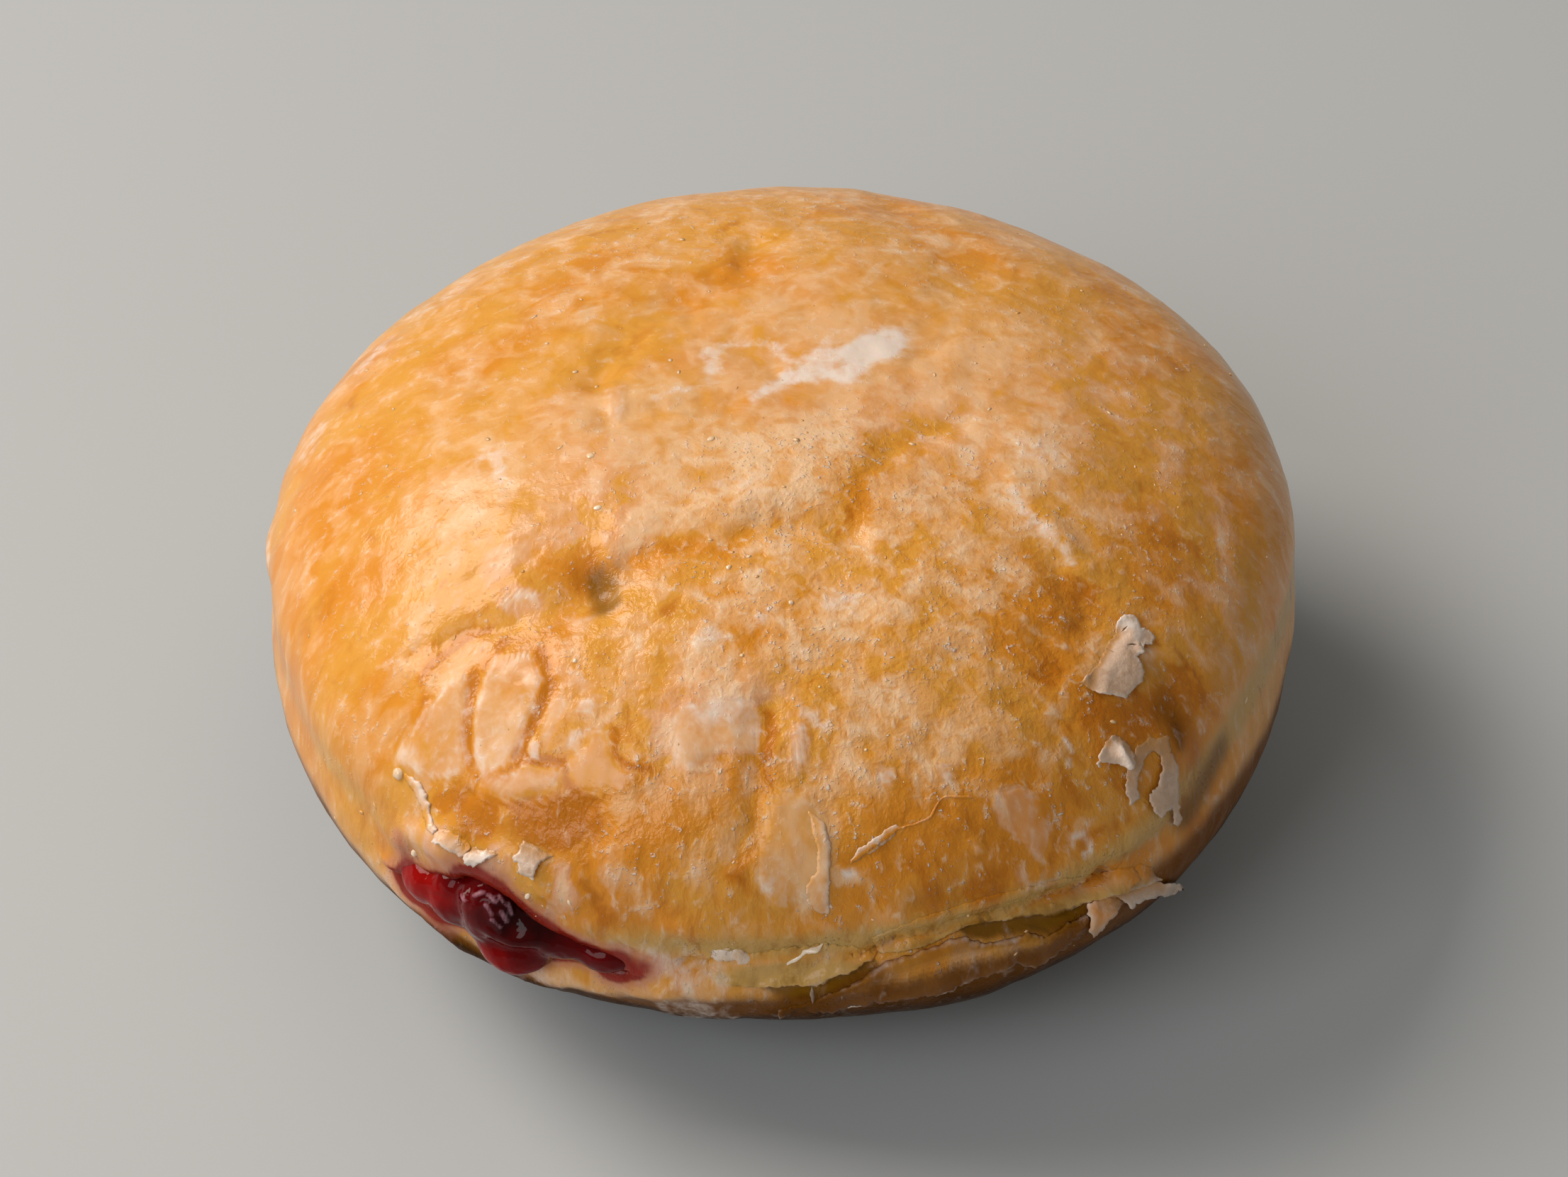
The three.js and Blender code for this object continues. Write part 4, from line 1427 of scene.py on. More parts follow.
@dataclass
class Plate:
    """A thin sheet of dried glaze on the crust.

    The outline is read off the photograph in pixels, and so is the root, the line along which the sheet
    clings to the crust; the other sizes are millimetres.
    """

    name: str
    outline: tuple[Pixel, ...]
    root: tuple[Pixel, ...]
    reach: float = 3.0  # the sheet is at its full lift this far from its root
    thickness: float = 0.25
    lift: float = 0.0
    finish: Finish = Finish.SKIN
    feather: bool = True  # it is thinner towards its root
    film: float = 0.6
    pink: float = 0.3
    waist: float = 0.0
    toast: float = 0.0
    white: float = 0.0
    edge_white: float = 0.3
    ragged: float = 0.08
    # The ridge's whiter crest is a painted highlight.
    ridge: tuple[Pixel, ...] = ()  # where it is bent up to a whiter crest
    ridge_rise: float = 0.2
    slits: tuple[tuple[Pixel, Pixel], ...] = ()  # short cracks right through it
    slit_gap: Pixel = (0.7, 1.0)  # half of how far a crack is open at its middle, in pixels
    bridging: int = 0  # how many times it is evened out, so that it bridges what is rough under it
    grid: float = 0.22

    def loop(self) -> np.ndarray:
        """The outline with its corners joined by broken edges, in millimetres across the photograph."""
        corners = [Vector(corner) * PIXEL for corner in self.outline]
        found = []
        seed = sum(ord(letter) for letter in self.name) * 0.37
        for start, end in zip(corners, corners[1:] + corners[:1]):
            count = max(1, round((end - start).length / (self.grid * 0.8)))
            aside = Vector((-(end - start).y, (end - start).x)).normalized()
            for step in range(count):
                spot = start.lerp(end, step / count)
                rough = noise.fractal(Vector((spot.x * 1.8, spot.y * 1.8, seed)), 0.6, 2.2, 4)
                found.append(tuple(spot + aside * rough * self.ragged * 2))
        return np.array(found)

    def cut(self, border: np.ndarray) -> tuple[np.ndarray, list[list[int]]]:
        """Fills the outline with small triangles.

        Args:
            border: The corners of the outline.

        Returns:
            The corners of the triangles and the triangles.
        """
        low, high = border.min(0), border.max(0)
        rows = [np.arange(low[i], high[i], self.grid) for i in (0, 1)]
        spots = np.stack(np.meshgrid(*rows), -1).reshape(-1, 2)
        spots = spots + np.random.default_rng(len(self.name)).uniform(-0.25, 0.25, spots.shape) * self.grid
        spots = spots[near_line(spots, np.vstack([border, border[:1]])) > 0.55 * self.grid]
        corners = [Vector(spot) for spot in np.vstack([border, spots])]
        gaps = []
        for start, end in self.slits:
            middle = np.add(start, end) / 2
            gaps.append(np.array([start, middle + self.slit_gap, end, middle - self.slit_gap]) * PIXEL)
        edges = []
        for gap in gaps:
            first = len(corners)
            corners += [Vector(corner) for corner in gap]
            edges += [(first + i, first + (i + 1) % 4) for i in range(4)]
        flat, _, faces, *_ = delaunay_2d_cdt(corners, edges, [list(range(len(border)))], 1, 1e-7)
        places = np.array([tuple(corner) for corner in flat])
        for gap in gaps:
            lost = inside(places[np.array(faces)].mean(1), gap)
            faces = [face for face, is_open in zip(faces, lost) if not is_open]
        used = sorted({corner for face in faces for corner in face})
        order = {corner: place for place, corner in enumerate(used)}
        return places[used], [[order[corner] for corner in face] for face in faces]

    def build(self, ground: Ground) -> bpy.types.Object:
        """Lays the sheet on the crust.

        Args:
            ground: The crust.

        Returns:
            The sheet.
        """
        border = self.loop()
        places, faces = self.cut(border)
        inset = near_line(places, np.vstack([border, border[:1]]))
        base = np.array([ground.under(tuple(place / PIXEL)) for place in places])
        away = ground.bun.outward(base)
        sides = Counter((min(a, b), max(a, b)) for f in faces for a, b in zip(f, list(f[1:]) + [f[0]]))
        pairs = np.array(list(sides))
        pairs = np.vstack([pairs, pairs[:, ::-1]])
        ties = np.bincount(pairs[:, 0], minlength=len(base))[:, None]
        free = ramp(near_line(places, np.array(self.root) * PIXEL), 0, self.reach)
        even = base
        for _ in range(self.bridging):
            sums = [np.bincount(pairs[:, 0], column, len(base)) for column in even[pairs[:, 1]].T]
            mean = np.stack(sums, -1) / ties
            even = even + away * ((mean - even) * away).sum(1, keepdims=True)
        base = base + free[:, None] * (even - base)
        wave = fractal(base, 2.2, len(self.name) * 1.7, 3)
        crest = np.zeros(len(places))
        if self.ridge:
            crest = bell(near_line(places, np.array(self.ridge) * PIXEL), 0.5)
        rise = self.lift * free * (1 + 0.15 * wave) + self.ridge_rise * crest * free
        thick = self.thickness * (0.55 + 0.45 * ramp(inset, 0, 0.2)) * (1 + 0.2 * wave)
        if self.feather:
            thick = thick * (0.1 + 0.9 * free)
        top = base + away * (rise + thick)[:, None]
        bottom = base + away * (rise - 0.04)[:, None]
        count = len(places)
        shell = [tuple(f) for f in faces] + [tuple(i + count for i in reversed(f)) for f in faces]
        for face in faces:
            for a, b in zip(face, list(face[1:]) + [face[0]]):
                if sides[(min(a, b), max(a, b))] == 1:
                    shell.append((b, a, a + count, b + count))
        piece = new_piece(self.name, np.vstack([top, bottom]), shell)
        layers = ground.layers_at(base)
        layers[Layer.FILM] = layers[Layer.FILM] * (1 - 0.7 * free) + self.film * free
        layers[Layer.PINK] = np.maximum(layers[Layer.PINK], self.pink * free)
        layers[Layer.WAIST] = np.maximum(layers[Layer.WAIST], self.waist * free)
        layers[Layer.BLISTER] = layers[Layer.BLISTER] * (1 - 0.8 * free)
        layers[Layer.TOAST] = layers[Layer.TOAST] * (1 - 0.8 * free) + self.toast * free
        # A painted highlight along the crest.
        white = self.white * (0.2 + 0.8 * free) + 0.4 * crest
        layers[Layer.WHITE] = layers[Layer.WHITE] + white + self.edge_white * free * bell(inset, 0.25)
        if self.finish is Finish.SUGAR:
            layers[Layer.FILM] = free * self.film
        for layer, values in layers.items():
            write_layer(piece.data, layer, np.concatenate([values, values]))
        return piece


@dataclass
class Rim:
    """A rounded curl of dried glaze along a line that is read off the photograph in pixels."""

    name: str
    path: tuple[Pixel, ...]
    width: float = 0.6
    height: float = 0.35
    white: float = 0.5
    finish: Finish = Finish.CURL
    step: float = 0.16
    # Across the curl and up it, in shares of its width and height.
    section: tuple[Place, ...] = (
        (-0.5, -0.1), (-0.42, 0.35), (-0.24, 0.78), (0.0, 1.0), (0.2, 0.85), (0.34, 0.45), (0.5, -0.1),
    )

    def build(self, ground: Ground) -> bpy.types.Object:
        """Lays the curl on the crust.

        Args:
            ground: The crust.

        Returns:
            The curl.
        """
        corners = [Vector(corner) for corner in self.path]
        seed = sum(ord(letter) for letter in self.name) * 0.21
        spots: list[Pixel] = []
        for start, end in zip(corners[:-1], corners[1:]):
            count = max(1, round((end - start).length * PIXEL / self.step))
            spots += [tuple(start.lerp(end, i / count)) for i in range(count)]
        spots.append(tuple(corners[-1]))
        base = np.array([ground.under(spot) for spot in spots])
        for _ in range(4):
            base[1:-1] = (base[:-2] + 2 * base[1:-1] + base[2:]) / 4
        away = ground.bun.outward(base)
        along = np.gradient(base, axis=0)
        along /= np.maximum(np.linalg.norm(along, axis=1, keepdims=True), 1e-9)
        aside = np.cross(along, away)
        steps = [i * self.step * 0.9 for i in range(len(base))]
        rows = [[Vector((step, seed, row)) for row in (0.0, 4.0, 8.0)] for step in steps]
        wander = np.array([[noise.fractal(spot, 0.8, 2.1, 3) for spot in row] for row in rows])
        ends = np.minimum(np.arange(len(base)), np.arange(len(base))[::-1]) * self.step
        taper = ramp(ends, -0.15, 0.6)
        tall = self.height * taper * np.clip(1 + 0.5 * wander[:, 0], 0.4, 1.5)
        wide = self.width * taper * np.clip(1 + 0.4 * wander[:, 1], 0.5, 1.5)
        base = base + aside * (wander[:, 2] * 0.3 * self.width)[:, None]
        rings = []
        for across, up in self.section:
            lift = np.full(len(base), -0.12) if up < 0 else up * tall
            rings.append(base + aside * (across * wide)[:, None] + away * lift[:, None])
        points = np.stack(rings, 1).reshape(-1, 3)
        size = len(self.section)
        faces = []
        for i in range(len(base) - 1):
            for j in range(size):
                k = (j + 1) % size
                faces.append((i * size + j, i * size + k, (i + 1) * size + k, (i + 1) * size + j))
        faces.append(tuple(range(size - 1, -1, -1)))
        faces.append(tuple(range((len(base) - 1) * size, len(base) * size)))
        piece = new_piece(self.name, points, faces)
        for layer, values in ground.layers_at(points).items():
            write_layer(piece.data, layer, values)
        write_layer(piece.data, Layer.WHITE, np.full(len(points), self.white))
        return piece


@dataclass
class Beads:
    """Rounded grains of sugar glaze that are gathered into one piece."""

    name: str
    seed: int
    fineness: int
    points: list[np.ndarray] = field(default_factory=list)
    faces: list[tuple[int, ...]] = field(default_factory=list)
    white: list[float] = field(default_factory=list)

    def __post_init__(self) -> None:
        """Models the round grain that the others are made from."""
        self.chance = random.Random(self.seed)
        lay_aside()
        bpy.ops.mesh.primitive_ico_sphere_add(subdivisions=self.fineness, radius=1)
        grain = bpy.context.object
        self.ball = read_points(grain.data)
        self.corners = [tuple(polygon.vertices) for polygon in grain.data.polygons]
        bpy.data.objects.remove(grain)

    def add(self, spot: np.ndarray, away: np.ndarray, size: Size, white: float) -> None:
        """Adds a grain, turned any way about the outward direction and half sunk.

        Args:
            spot: Where it lies.
            away: The outward direction there.
            size: Its half-widths along the crust, and its height.
            white: How white it is.
        """
        side = np.cross(away, [self.chance.uniform(-1, 1) for _ in range(3)])
        side /= np.linalg.norm(side)
        axes = np.array([side, np.cross(away, side), away])
        lumpy = self.ball * (1 + 0.22 * fractal(self.ball + 9 * spot, 0.9, 0.0, 2))[:, None]
        start = len(self.points)
        self.faces += [tuple(i + start for i in corner) for corner in self.corners]
        self.points += list(spot + (lumpy * np.array(size)) @ axes)
        self.white += [white] * len(self.ball)

    def finish(self) -> bpy.types.Object:
        """Makes one piece of all the grains."""
        piece = new_piece(self.name, np.array(self.points), self.faces)
        write_layer(piece.data, Layer.WHITE, np.array(self.white))
        return piece


@dataclass(frozen=True)
class Drop:
    """A bead of glaze at a pixel of the photograph: its half-widths and height, and how white it is."""

    place: Pixel
    size: Size
    white: float


@dataclass
class Glaze:
    """All the flakes, plates, curls and beads of dried glaze that stand out one by one."""

    plates: tuple[Plate, ...] = (
        # The right edge of the tall patch.
        Plate(
            "plate_tall_edge",
            ((1140, 1144), (1150, 1150), (1163, 1158), (1172, 1190), (1171, 1230), (1169, 1288),
             (1150, 1286), (1138, 1270), (1136, 1250), (1150, 1232), (1154, 1200), (1146, 1170)),
            root=((1140, 1144), (1148, 1180), (1140, 1262)), reach=1.8, thickness=0.06, lift=0.04,
            film=0.9, pink=0.4, white=0.25, edge_white=0.35,
        ),
        # The flakes at the right: the upright one, the curled chip and the fork.
        Plate(
            "flake_upright",
            ((1577, 873), (1591, 868), (1602, 876), (1605, 888), (1618, 891), (1625, 901), (1621, 912),
             (1611, 910), (1609, 916), (1611, 922), (1601, 928), (1606, 938), (1611, 950), (1607, 963),
             (1598, 971), (1591, 979), (1584, 986), (1569, 982), (1551, 980), (1538, 972), (1523, 962),
             (1535, 950), (1544, 943), (1556, 922), (1564, 905), (1574, 894), (1574, 882)),
            root=((1523, 962), (1538, 970), (1544, 943), (1556, 922), (1564, 905), (1575, 892)),
            reach=1.4, thickness=0.09, lift=0.4, finish=Finish.SUGAR, film=1.0,
            ridge=((1582, 880), (1602, 888), (1600, 902)), ridge_rise=0.06,
            slits=(
                ((1562, 916), (1573, 923)), ((1585, 912), (1600, 911)), ((1603, 906), (1610, 918)),
                ((1581, 892), (1588, 885)),
            ),
            grid=0.16,
        ),
        Plate(
            "chip_curled",
            ((1569, 1037), (1582, 1041), (1593, 1050), (1598, 1063), (1593, 1078), (1582, 1085),
             (1569, 1078), (1556, 1075), (1545, 1075), (1544, 1083), (1539, 1078), (1544, 1065),
             (1556, 1051)),
            root=((1562, 1044), (1582, 1040), (1596, 1054)), reach=1.8, thickness=0.1, lift=0.8,
            finish=Finish.SUGAR, feather=False, film=1.0, white=0.1, edge_white=0.15,
            ridge=((1573, 1043), (1578, 1062), (1583, 1081)), ridge_rise=0.6, grid=0.16,
        ),
        Plate(
            "flake_fork",
            ((1599, 1066), (1604, 1050), (1610, 1050), (1621, 1041), (1630, 1043), (1640, 1040),
             (1646, 1036), (1650, 1040), (1650, 1059), (1657, 1076), (1658, 1085), (1658, 1139),
             (1662, 1152), (1657, 1163), (1652, 1159), (1650, 1137), (1640, 1146), (1634, 1152),
             (1627, 1146), (1619, 1131), (1618, 1120), (1630, 1107), (1636, 1085), (1636, 1066),
             (1627, 1059), (1619, 1063), (1610, 1079), (1603, 1094), (1601, 1109), (1604, 1124),
             (1591, 1134), (1584, 1111), (1586, 1089)),
            root=((1610, 1046), (1646, 1038)), reach=4.0, thickness=0.08, lift=0.35, finish=Finish.SUGAR,
            film=0.4, edge_white=0.2, grid=0.18,
        ),
        # The flakes and the lip over the jam.
        Plate(
            "lip_over_jam",
            ((568, 1090), (574, 1091), (587, 1099), (598, 1110), (602, 1121), (606, 1133), (608, 1144),
             (611, 1160), (619, 1170), (612, 1175), (603, 1170), (597, 1150), (589, 1128), (581, 1112),
             (572, 1098)),
            root=((568, 1092), (581, 1114), (589, 1130), (597, 1152), (603, 1172)), reach=0.9,
            thickness=0.28, film=1.0, white=0.55, edge_white=0.3, grid=0.16,
        ),
        Plate(
            "chip_over_jam",
            ((736, 1190), (738, 1185), (749, 1189), (764, 1198), (773, 1205), (782, 1207), (773, 1212),
             (764, 1216), (760, 1222), (756, 1233), (748, 1232), (737, 1229), (735, 1223), (736, 1212),
             (728, 1212), (727, 1205), (733, 1201)),
            root=((738, 1185), (764, 1198), (782, 1207)), reach=1.6, thickness=0.08, lift=0.5,
            finish=Finish.SUGAR,
        ),
        Plate(
            "flap_over_jam",
            ((612, 1172), (620, 1170), (634, 1171), (648, 1178), (660, 1188), (665, 1197), (660, 1204),
             (652, 1205), (644, 1202), (631, 1195), (622, 1188), (612, 1186), (615, 1181)),
            root=((612, 1170), (634, 1170), (650, 1178), (662, 1190)), reach=1.2, thickness=0.1,
            lift=0.35, film=1.0, white=0.5, edge_white=0.5, grid=0.16,
        ),
        Plate(
            "flap_tip",
            ((664, 1197), (672, 1195), (681, 1198), (687, 1195), (697, 1201), (703, 1205), (693, 1208),
             (682, 1214), (673, 1219), (667, 1217), (659, 1214), (658, 1207)),
            root=((666, 1195), (687, 1194), (703, 1204)), reach=1.0, thickness=0.08, lift=0.5,
            finish=Finish.SUGAR, white=0.4, grid=0.16,
        ),
        # The soft ledges of the pale band along the front.
        Plate(
            "ledge_short",
            ((1000, 1352), (1040, 1348), (1166, 1330), (1238, 1341), (1230, 1352), (1215, 1357),
             (1198, 1369), (1168, 1377), (1141, 1388), (1129, 1384), (1100, 1389), (1065, 1389),
             (1030, 1387), (1005, 1378)),
            root=((1000, 1350), (1040, 1346), (1166, 1328), (1238, 1339)), reach=1.6, thickness=0.7,
            waist=1.0, film=0.6, edge_white=0.4, ragged=0.1, bridging=12, grid=0.2,
        ),
        Plate(
            "ledge_upper",
            ((1230, 1322), (1300, 1294), (1400, 1262), (1500, 1240), (1600, 1222), (1608, 1240),
             (1591, 1256), (1563, 1264), (1533, 1272), (1522, 1275), (1501, 1282), (1485, 1290),
             (1462, 1288), (1432, 1292), (1412, 1297), (1389, 1298), (1361, 1303), (1334, 1319),
             (1309, 1331), (1276, 1340), (1240, 1343)),
            root=((1230, 1320), (1300, 1292), (1400, 1260), (1500, 1238), (1600, 1220)), reach=2.4,
            thickness=0.5, waist=1.0, film=0.6, edge_white=0.5, ragged=0.06, bridging=6, grid=0.2,
        ),
        Plate(
            "ledge_lower",
            ((1149, 1411), (1190, 1393), (1222, 1374), (1244, 1356), (1280, 1346), (1312, 1336),
             (1340, 1322), (1361, 1318), (1370, 1324), (1393, 1329), (1407, 1325), (1423, 1322),
             (1440, 1318), (1448, 1310), (1453, 1316), (1467, 1317), (1480, 1321), (1491, 1313),
             (1500, 1307), (1503, 1297), (1509, 1302), (1520, 1295), (1532, 1289), (1536, 1300),
             (1522, 1320), (1513, 1325), (1494, 1341), (1480, 1352), (1458, 1362), (1435, 1357),
             (1412, 1368), (1389, 1375), (1361, 1380), (1343, 1393), (1329, 1400), (1290, 1404),
             (1250, 1410), (1222, 1414), (1198, 1418), (1173, 1427), (1120, 1428), (1100, 1437),
             (1098, 1425)),
            root=((1110, 1424), (1200, 1404), (1290, 1376), (1340, 1358), (1400, 1348), (1460, 1338),
                  (1525, 1306)),
            reach=1.4, thickness=0.45, waist=0.3, toast=0.36, film=0.2, pink=0.3, edge_white=0.4,
            ragged=0.1, bridging=6, grid=0.2,
        ),
        # The pointed shelf at the lower right.
        Plate(
            "shelf_fold",
            ((1531, 1271), (1563, 1264), (1588, 1267), (1579, 1279), (1570, 1288), (1559, 1297),
             (1552, 1309), (1540, 1318), (1534, 1311), (1535, 1295), (1531, 1286)),
            root=((1563, 1264), (1590, 1266)), reach=2.0, thickness=0.12, lift=0.3, film=0.9, pink=0.9,
            white=0.4, edge_white=0.3,
        ),
        Plate(
            "shelf_plate",
            ((1584, 1246), (1596, 1232), (1607, 1219), (1628, 1224), (1630, 1235), (1640, 1240),
             (1616, 1251), (1591, 1257)),
            root=((1607, 1219), (1628, 1224)), reach=2.0, thickness=0.15, waist=1.0, film=0.8, white=0.45,
            edge_white=0.5,
        ),
        Plate(
            "shelf_tip",
            ((1568, 1263), (1591, 1256), (1610, 1250), (1628, 1244), (1660, 1241), (1664, 1249),
             (1646, 1258), (1634, 1259), (1614, 1264), (1598, 1270), (1593, 1277), (1586, 1270)),
            root=((1568, 1262), (1628, 1243)), reach=1.2, thickness=0.12, lift=0.4, finish=Finish.SUGAR,
            feather=False, white=0.1,
        ),
        # A thin smear, brushed on.
        Plate(
            "streak",
            ((1196, 1220), (1206, 1205), (1212, 1196), (1226, 1188), (1238, 1180), (1252, 1168),
             (1264, 1163), (1272, 1168), (1258, 1182), (1246, 1192), (1232, 1200), (1218, 1210)),
            root=((1196, 1220), (1272, 1166)), reach=0.3, thickness=0.05, film=1.0, pink=1.0, white=0.6,
            grid=0.16,
        ),
    )
    rims: tuple[Rim, ...] = (
        Rim(
            "streak_thin",
            ((1262, 1170), (1290, 1163), (1312, 1153), (1321, 1136), (1330, 1124), (1352, 1123),
             (1375, 1125)),
            0.22, 0.07, 0.25, Finish.SKIN,
        ),
        Rim(
            "ridge_bright", ((1080, 1370), (1100, 1360), (1118, 1350), (1140, 1340), (1162, 1331)), 0.6,
            0.45, 1.2,
        ),
        Rim(
            "lump_left", ((1004, 1350), (1020, 1346), (1040, 1349), (1062, 1356)), 1.6, 0.4, 0.9,
            Finish.SKIN,
        ),
        Rim("drip_one", ((1145, 1391), (1146, 1405), (1146, 1418)), 0.34, 0.2, 0.35, Finish.SKIN),
        Rim("drip_two", ((1187, 1399), (1187, 1412)), 0.34, 0.2, 0.3, Finish.SKIN),
        Rim("drip_edge", ((1187, 1420), (1221, 1415), (1240, 1408)), 0.4, 0.2, 0.9, Finish.SKIN),
    )
    drops: tuple[Drop, ...] = (
        Drop((562, 1091), (0.55, 0.5, 0.4), 0.7), Drop((609, 1167), (0.35, 0.3, 0.22), 0.9),
        Drop((811, 932), (0.2, 0.2, 0.12), 0.9), Drop((585, 1203), (0.3, 0.4, 0.25), 0.9),
        Drop((833, 643), (0.35, 0.3, 0.12), 0.8), Drop((843, 716), (0.35, 0.25, 0.12), 0.9),
        Drop((1003, 619), (0.35, 0.25, 0.12), 0.8), Drop((1028, 800), (0.25, 0.2, 0.12), 0.9),
        Drop((1116, 850), (0.22, 0.22, 0.15), 0.9), Drop((750, 1237), (0.2, 0.3, 0.15), 1.0),
        # The white bead at (744, 1264) is a painted highlight on the pink fold.
        Drop((744, 1264), (0.4, 0.2, 0.15), 1.0), Drop((803, 1273), (0.25, 0.15, 0.1), 0.9),
        Drop((1366, 1291), (0.14, 0.14, 0.1), 0.5), Drop((1448, 1314), (0.16, 0.18, 0.12), 0.4),
        Drop((1432, 1345), (0.14, 0.26, 0.12), 0.35), Drop((1232, 1297), (0.1, 0.18, 0.1), 0.4),
    )

    def build(self, ground: Ground, pantry: Pantry) -> None:
        """Lays every plate, curl and bead.

        Args:
            ground: The crust.
            pantry: The finishes.
        """
        for part in self.plates + self.rims:
            pantry.dress(part.build(ground), part.name, part.finish)
        beads = Beads("glaze_beads", 5, 3)
        for drop in self.drops:
            spot = ground.under(drop.place)
            beads.add(spot, ground.bun.outward(spot[None])[0], drop.size, drop.white)
        pantry.dress(beads.finish(), "glaze_beads", Finish.CURL)


@dataclass
class Sprinkle:
    """The crumbs of sugar glaze that lie all over the dome."""

    crumbs: int = 320
    seed: int = 11

    def spot(self, chance: random.Random, ground: Ground) -> tuple[np.ndarray, np.ndarray]:
        """A random place on the dome, more often at the front and where the glaze is broken.

        Args:
            chance: The source of random numbers.
            ground: The crust.

        Returns:
            The point and the outward direction there.
        """
        while True:
            azimuth = chance.uniform(-180, 180)
            elevation = math.degrees(math.asin(chance.uniform(-0.12, 1)))
            point, away = ground.bun.smooth(np.array([azimuth]), np.array([elevation]))
            lumps = noise.fractal(Vector(point[0] / 7), 1.0, 2.0, 3) + 0.3 * bell(wrap(azimuth + 65), 60)
            if lumps > chance.uniform(-0.2, 0.6):
                return ground.settle(point)[0], away[0]

    def build_crumbs(self, ground: Ground) -> bpy.types.Object:
        """Scatters the crumbs.

        Args:
            ground: The crust.

        Returns:
            One piece with all the crumbs.
        """
        beads = Beads("sugar_crumbs", self.seed, 1)
        for _ in range(self.crumbs):
            spot, away = self.spot(beads.chance, ground)
            size = 0.07 + 0.18 * beads.chance.random() ** 4
            long, wide = size * beads.chance.uniform(1.0, 2.2), size * beads.chance.uniform(0.7, 1.1)
            beads.add(spot, away, (long, wide, size * 0.3), beads.chance.uniform(-0.1, 0.8))
        return beads.finish()


@dataclass(frozen=True)
class Lobe:
    """A rounded blob of jam: its place, the depth of its centre, and its half-widths along, up and out."""

    place: Place
    inset: float
    size: Size


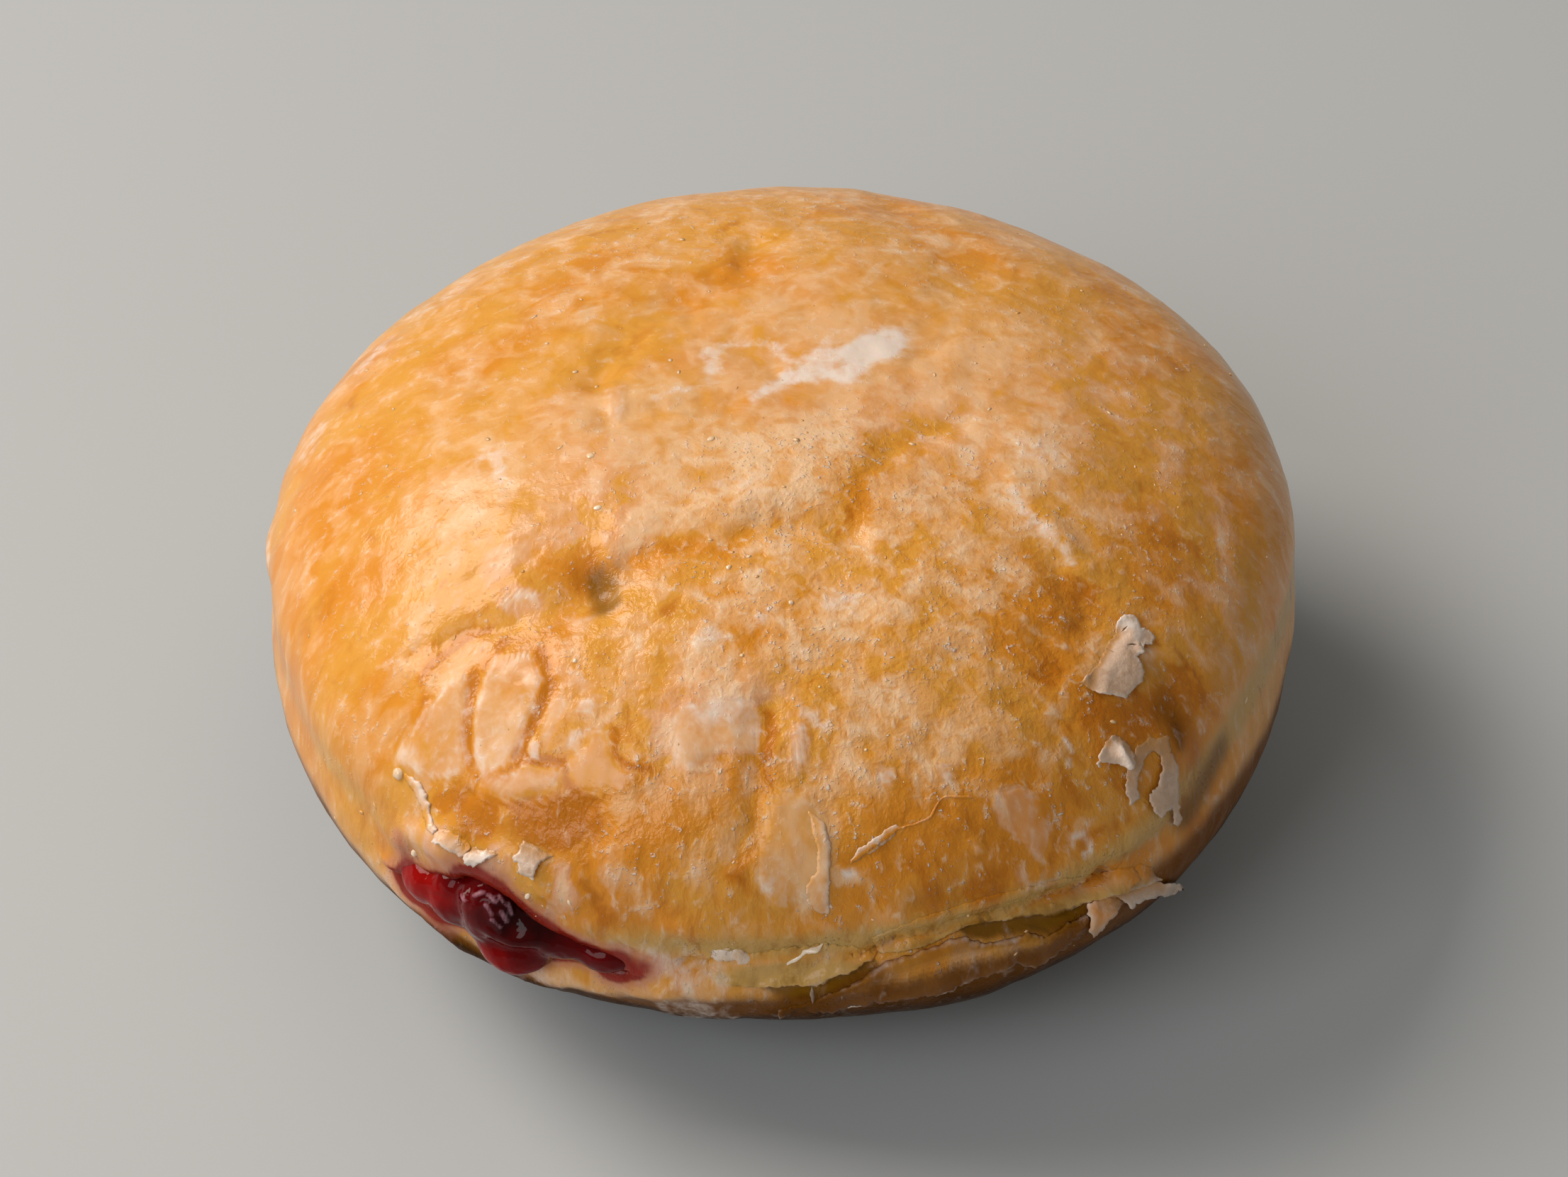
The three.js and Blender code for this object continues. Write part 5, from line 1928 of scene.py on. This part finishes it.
@dataclass
class Filling:
    """The jam: a pocket in the middle, a neck, and the lumps that swell out of the mouth."""

    bun: Bun = field(default_factory=Bun)
    pocket: Size = (-4, -6, 21)
    pocket_size: Size = (19, 19, 6)
    lobes: tuple[Lobe, ...] = (
        Lobe((-118.5, -1), 13, (8.5, 2.8, 15)),
        Lobe((-128.8, -2.4), 1.6, (3.4, 2.5, 2.4)),
        Lobe((-125.0, -1.8), 1.4, (3.2, 3.1, 2.6)),
        Lobe((-120.6, -0.8), 1.3, (3.3, 3.7, 3.0)),
        Lobe((-118.0, -4.6), 1.0, (3.5, 2.5, 3.2)),
        Lobe((-113.6, -2.4), 1.6, (3.4, 2.1, 2.3)),
        Lobe((-108.4, -3.2), 1.4, (2.8, 1.6, 1.9)),
    )
    voxel: float = 0.235
    smoothing: int = 32
    bright_reach: float = 3.2
    # Knobs of jam, each with a painted highlight on its crest.
    knobs: tuple[tuple[Pixel, Pixel], ...] = (
        ((671, 1263), (683, 1258)),
        ((690, 1262), (699, 1272)),
        ((704, 1264), (712, 1276)),
        ((686, 1276), (694, 1288)),
        ((706, 1284), (715, 1300)),
        ((694, 1296), (706, 1308)),
        ((716, 1274), (721, 1288)),
        ((655, 1262), (658, 1270)),
        ((735, 1262), (748, 1268)),
    )
    knob_rise: float = 0.3
    knob_spread: float = 0.34
    knob_depth: float = 6.0  # only the jam that is this near the waist's outside has knobs
    bright_places: tuple[Place, ...] = ((-128.6, -2.0), (-118.5, -6.0))
    painted_lip_shadow_place: Place = (-116.5, 0.5)

    def blob(self, centre: np.ndarray, axes: np.ndarray, size: Size) -> bpy.types.Object:
        """Adds one blob.

        Args:
            centre: Its middle, in millimetres.
            axes: Its own directions, one in each row.
            size: Its half-widths along them.

        Returns:
            The blob.
        """
        bpy.ops.mesh.primitive_ico_sphere_add(subdivisions=4, radius=1)
        piece = bpy.context.object
        points = read_points(piece.data)
        lumps = 1 + 0.06 * fractal(points, 0.9, float(centre[0]))
        shaped = centre + (points * lumps[:, None] * np.array(size)) @ axes
        write_points(piece.data, shaped * MM)
        return piece

    def build(self) -> bpy.types.Object:
        """Models the jam from blobs that are melted together.

        Returns:
            The mesh object, in metres.
        """
        lay_aside()
        blobs = [self.blob(np.array(self.pocket, float), np.eye(3), self.pocket_size)]
        for lobe in self.lobes:
            azimuth, elevation = (np.array([angle], float) for angle in lobe.place)
            points, normals = self.bun.smooth(azimuth, elevation)
            angle = math.radians(lobe.place[0])
            right = np.array([-math.sin(angle), math.cos(angle), 0])
            axes = np.array([right, np.cross(normals[0], right), normals[0]])
            blobs.append(self.blob(points[0] - lobe.inset * normals[0], axes, lobe.size))
        for blob in blobs:
            blob.select_set(True)
        bpy.context.view_layer.objects.active = blobs[0]
        bpy.ops.object.join()
        piece = bpy.context.object
        melt = piece.modifiers.new("Melt", "REMESH")
        melt.mode = "VOXEL"
        melt.voxel_size = self.voxel * MM
        bpy.ops.object.modifier_apply(modifier=melt.name)
        settle = piece.modifiers.new("Settle", "SMOOTH")
        settle.iterations = self.smoothing
        settle.factor = 0.5
        bpy.ops.object.modifier_apply(modifier=settle.name)
        points = read_points(piece.data) / MM
        normals = np.empty(len(points) * 3, np.float32)
        piece.data.vertex_normals.foreach_get("vector", normals)
        ripple = 0.1 * fractal(points, 2.4, 8.0, 2)
        normals = normals.reshape(-1, 3)
        points = points + ripple[:, None] * normals
        view = Viewpoint()
        outer = np.linalg.norm(points[:, :2], axis=1) > self.bun.waist_radius - self.knob_depth
        shown = (normals @ np.array(view.back) > 0) & outer
        crests = np.zeros(len(points))
        for knob in self.knobs:
            near = near_line(view.pixels(points), np.array(knob)) * PIXEL
            crests = np.maximum(crests, shown * bell(near, self.knob_spread))
        points = points + (self.knob_rise * crests)[:, None] * normals
        write_points(piece.data, points * MM)
        # Painted shadow under the upper lip: the jam is made darker there.
        bright = -0.5 * bell(near_line(points, self.bun.line((self.painted_lip_shadow_place,))), 3.0)
        for place in self.bright_places:
            bright = bright + bell(near_line(points, self.bun.line((place,))), self.bright_reach)
        write_layer(piece.data, Layer.STAIN, bright)
        # The white layer paints highlights on the knobs' crests.
        write_layer(piece.data, Layer.WHITE, crests)
        return piece


@dataclass(frozen=True)
class Lamp:
    """A square soft light that faces the doughnut: its place and side in metres, its power and colour."""

    name: str
    place: Size
    side: float
    watts: float
    colour: str


@dataclass
class Studio:
    """The pale floor, the soft lights and the camera."""

    view: Viewpoint = field(default_factory=Viewpoint)
    floor_size: float = 3.0
    ambient: str = "E6E0D6"
    ambient_strength: float = 0.3
    lamps: tuple[Lamp, ...] = (
        Lamp("window", (-0.72, 0.3, 0.78), 0.6, 11.3, "FFF4E8"),
        Lamp("front_left", (-0.45, -0.5, 0.55), 0.45, 2.4, "FFFFFF"),
    )
    lit_point: Size = (0, 0, 0.02)

    def lay_floor(self) -> bpy.types.Object:
        """Lays the floor.

        Returns:
            The floor, which is stage and not part of the doughnut.
        """
        lay_aside()
        bpy.ops.mesh.primitive_plane_add(size=self.floor_size)
        floor = bpy.context.object
        floor.name = "floor"
        floor.data.materials.append(MatteFloor().make())
        return floor

    def hang(self, lamp: Lamp) -> None:
        """Hangs a lamp.

        Args:
            lamp: The lamp.
        """
        bulb = bpy.data.lights.new(lamp.name, "AREA")
        bulb.size = lamp.side
        bulb.energy = lamp.watts
        bulb.color = srgb(lamp.colour)[:3]
        light = bpy.data.objects.new(lamp.name, bulb)
        light.location = lamp.place
        towards = Vector(self.lit_point) - Vector(lamp.place)
        light.rotation_euler = towards.to_track_quat("-Z", "Y").to_euler()
        bpy.context.collection.objects.link(light)

    def light(self) -> None:
        """Lights the doughnut softly from the left and above, as a window would."""
        world = bpy.context.scene.world or bpy.data.worlds.new("Soft room")
        bpy.context.scene.world = world
        world.use_nodes = True
        glow = world.node_tree.nodes["Background"]
        glow.inputs["Color"].default_value = srgb(self.ambient)
        glow.inputs["Strength"].default_value = self.ambient_strength
        for lamp in self.lamps:
            self.hang(lamp)

    def set_camera(self) -> None:
        """Stands the camera where the photograph was taken from."""
        camera = bpy.data.cameras.new("camera")
        camera.lens = self.view.lens
        camera.sensor_width = self.view.sensor
        camera.clip_start = 0.01
        stand = bpy.data.objects.new("camera", camera)
        stand.location = self.view.place * MM
        stand.rotation_euler = (math.radians(90 - self.view.elevation), 0, 0)
        bpy.context.collection.objects.link(stand)
        bpy.context.scene.camera = stand
        bpy.context.scene.view_settings.view_transform = "Standard"


def main() -> None:
    """Builds the doughnut and its studio."""
    logging.basicConfig(level=logging.INFO, format="%(message)s")
    studio = Studio()
    studio.lay_floor()
    studio.light()
    studio.set_camera()
    pantry = Pantry()
    crust = Crust()
    crust_piece = pantry.dress(crust.build(), "crust", Finish.CRUST)
    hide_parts("dough")
    Glaze().build(crust.ground, pantry)
    pantry.dress(Sprinkle().build_crumbs(crust.ground), "sugar_crumbs", Finish.CURL)
    jam = pantry.dress(Filling().build(), "jam_filling", Finish.JAM)
    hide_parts("jam")
    bpy.context.view_layer.update()


if __name__ == "__main__":
    main()
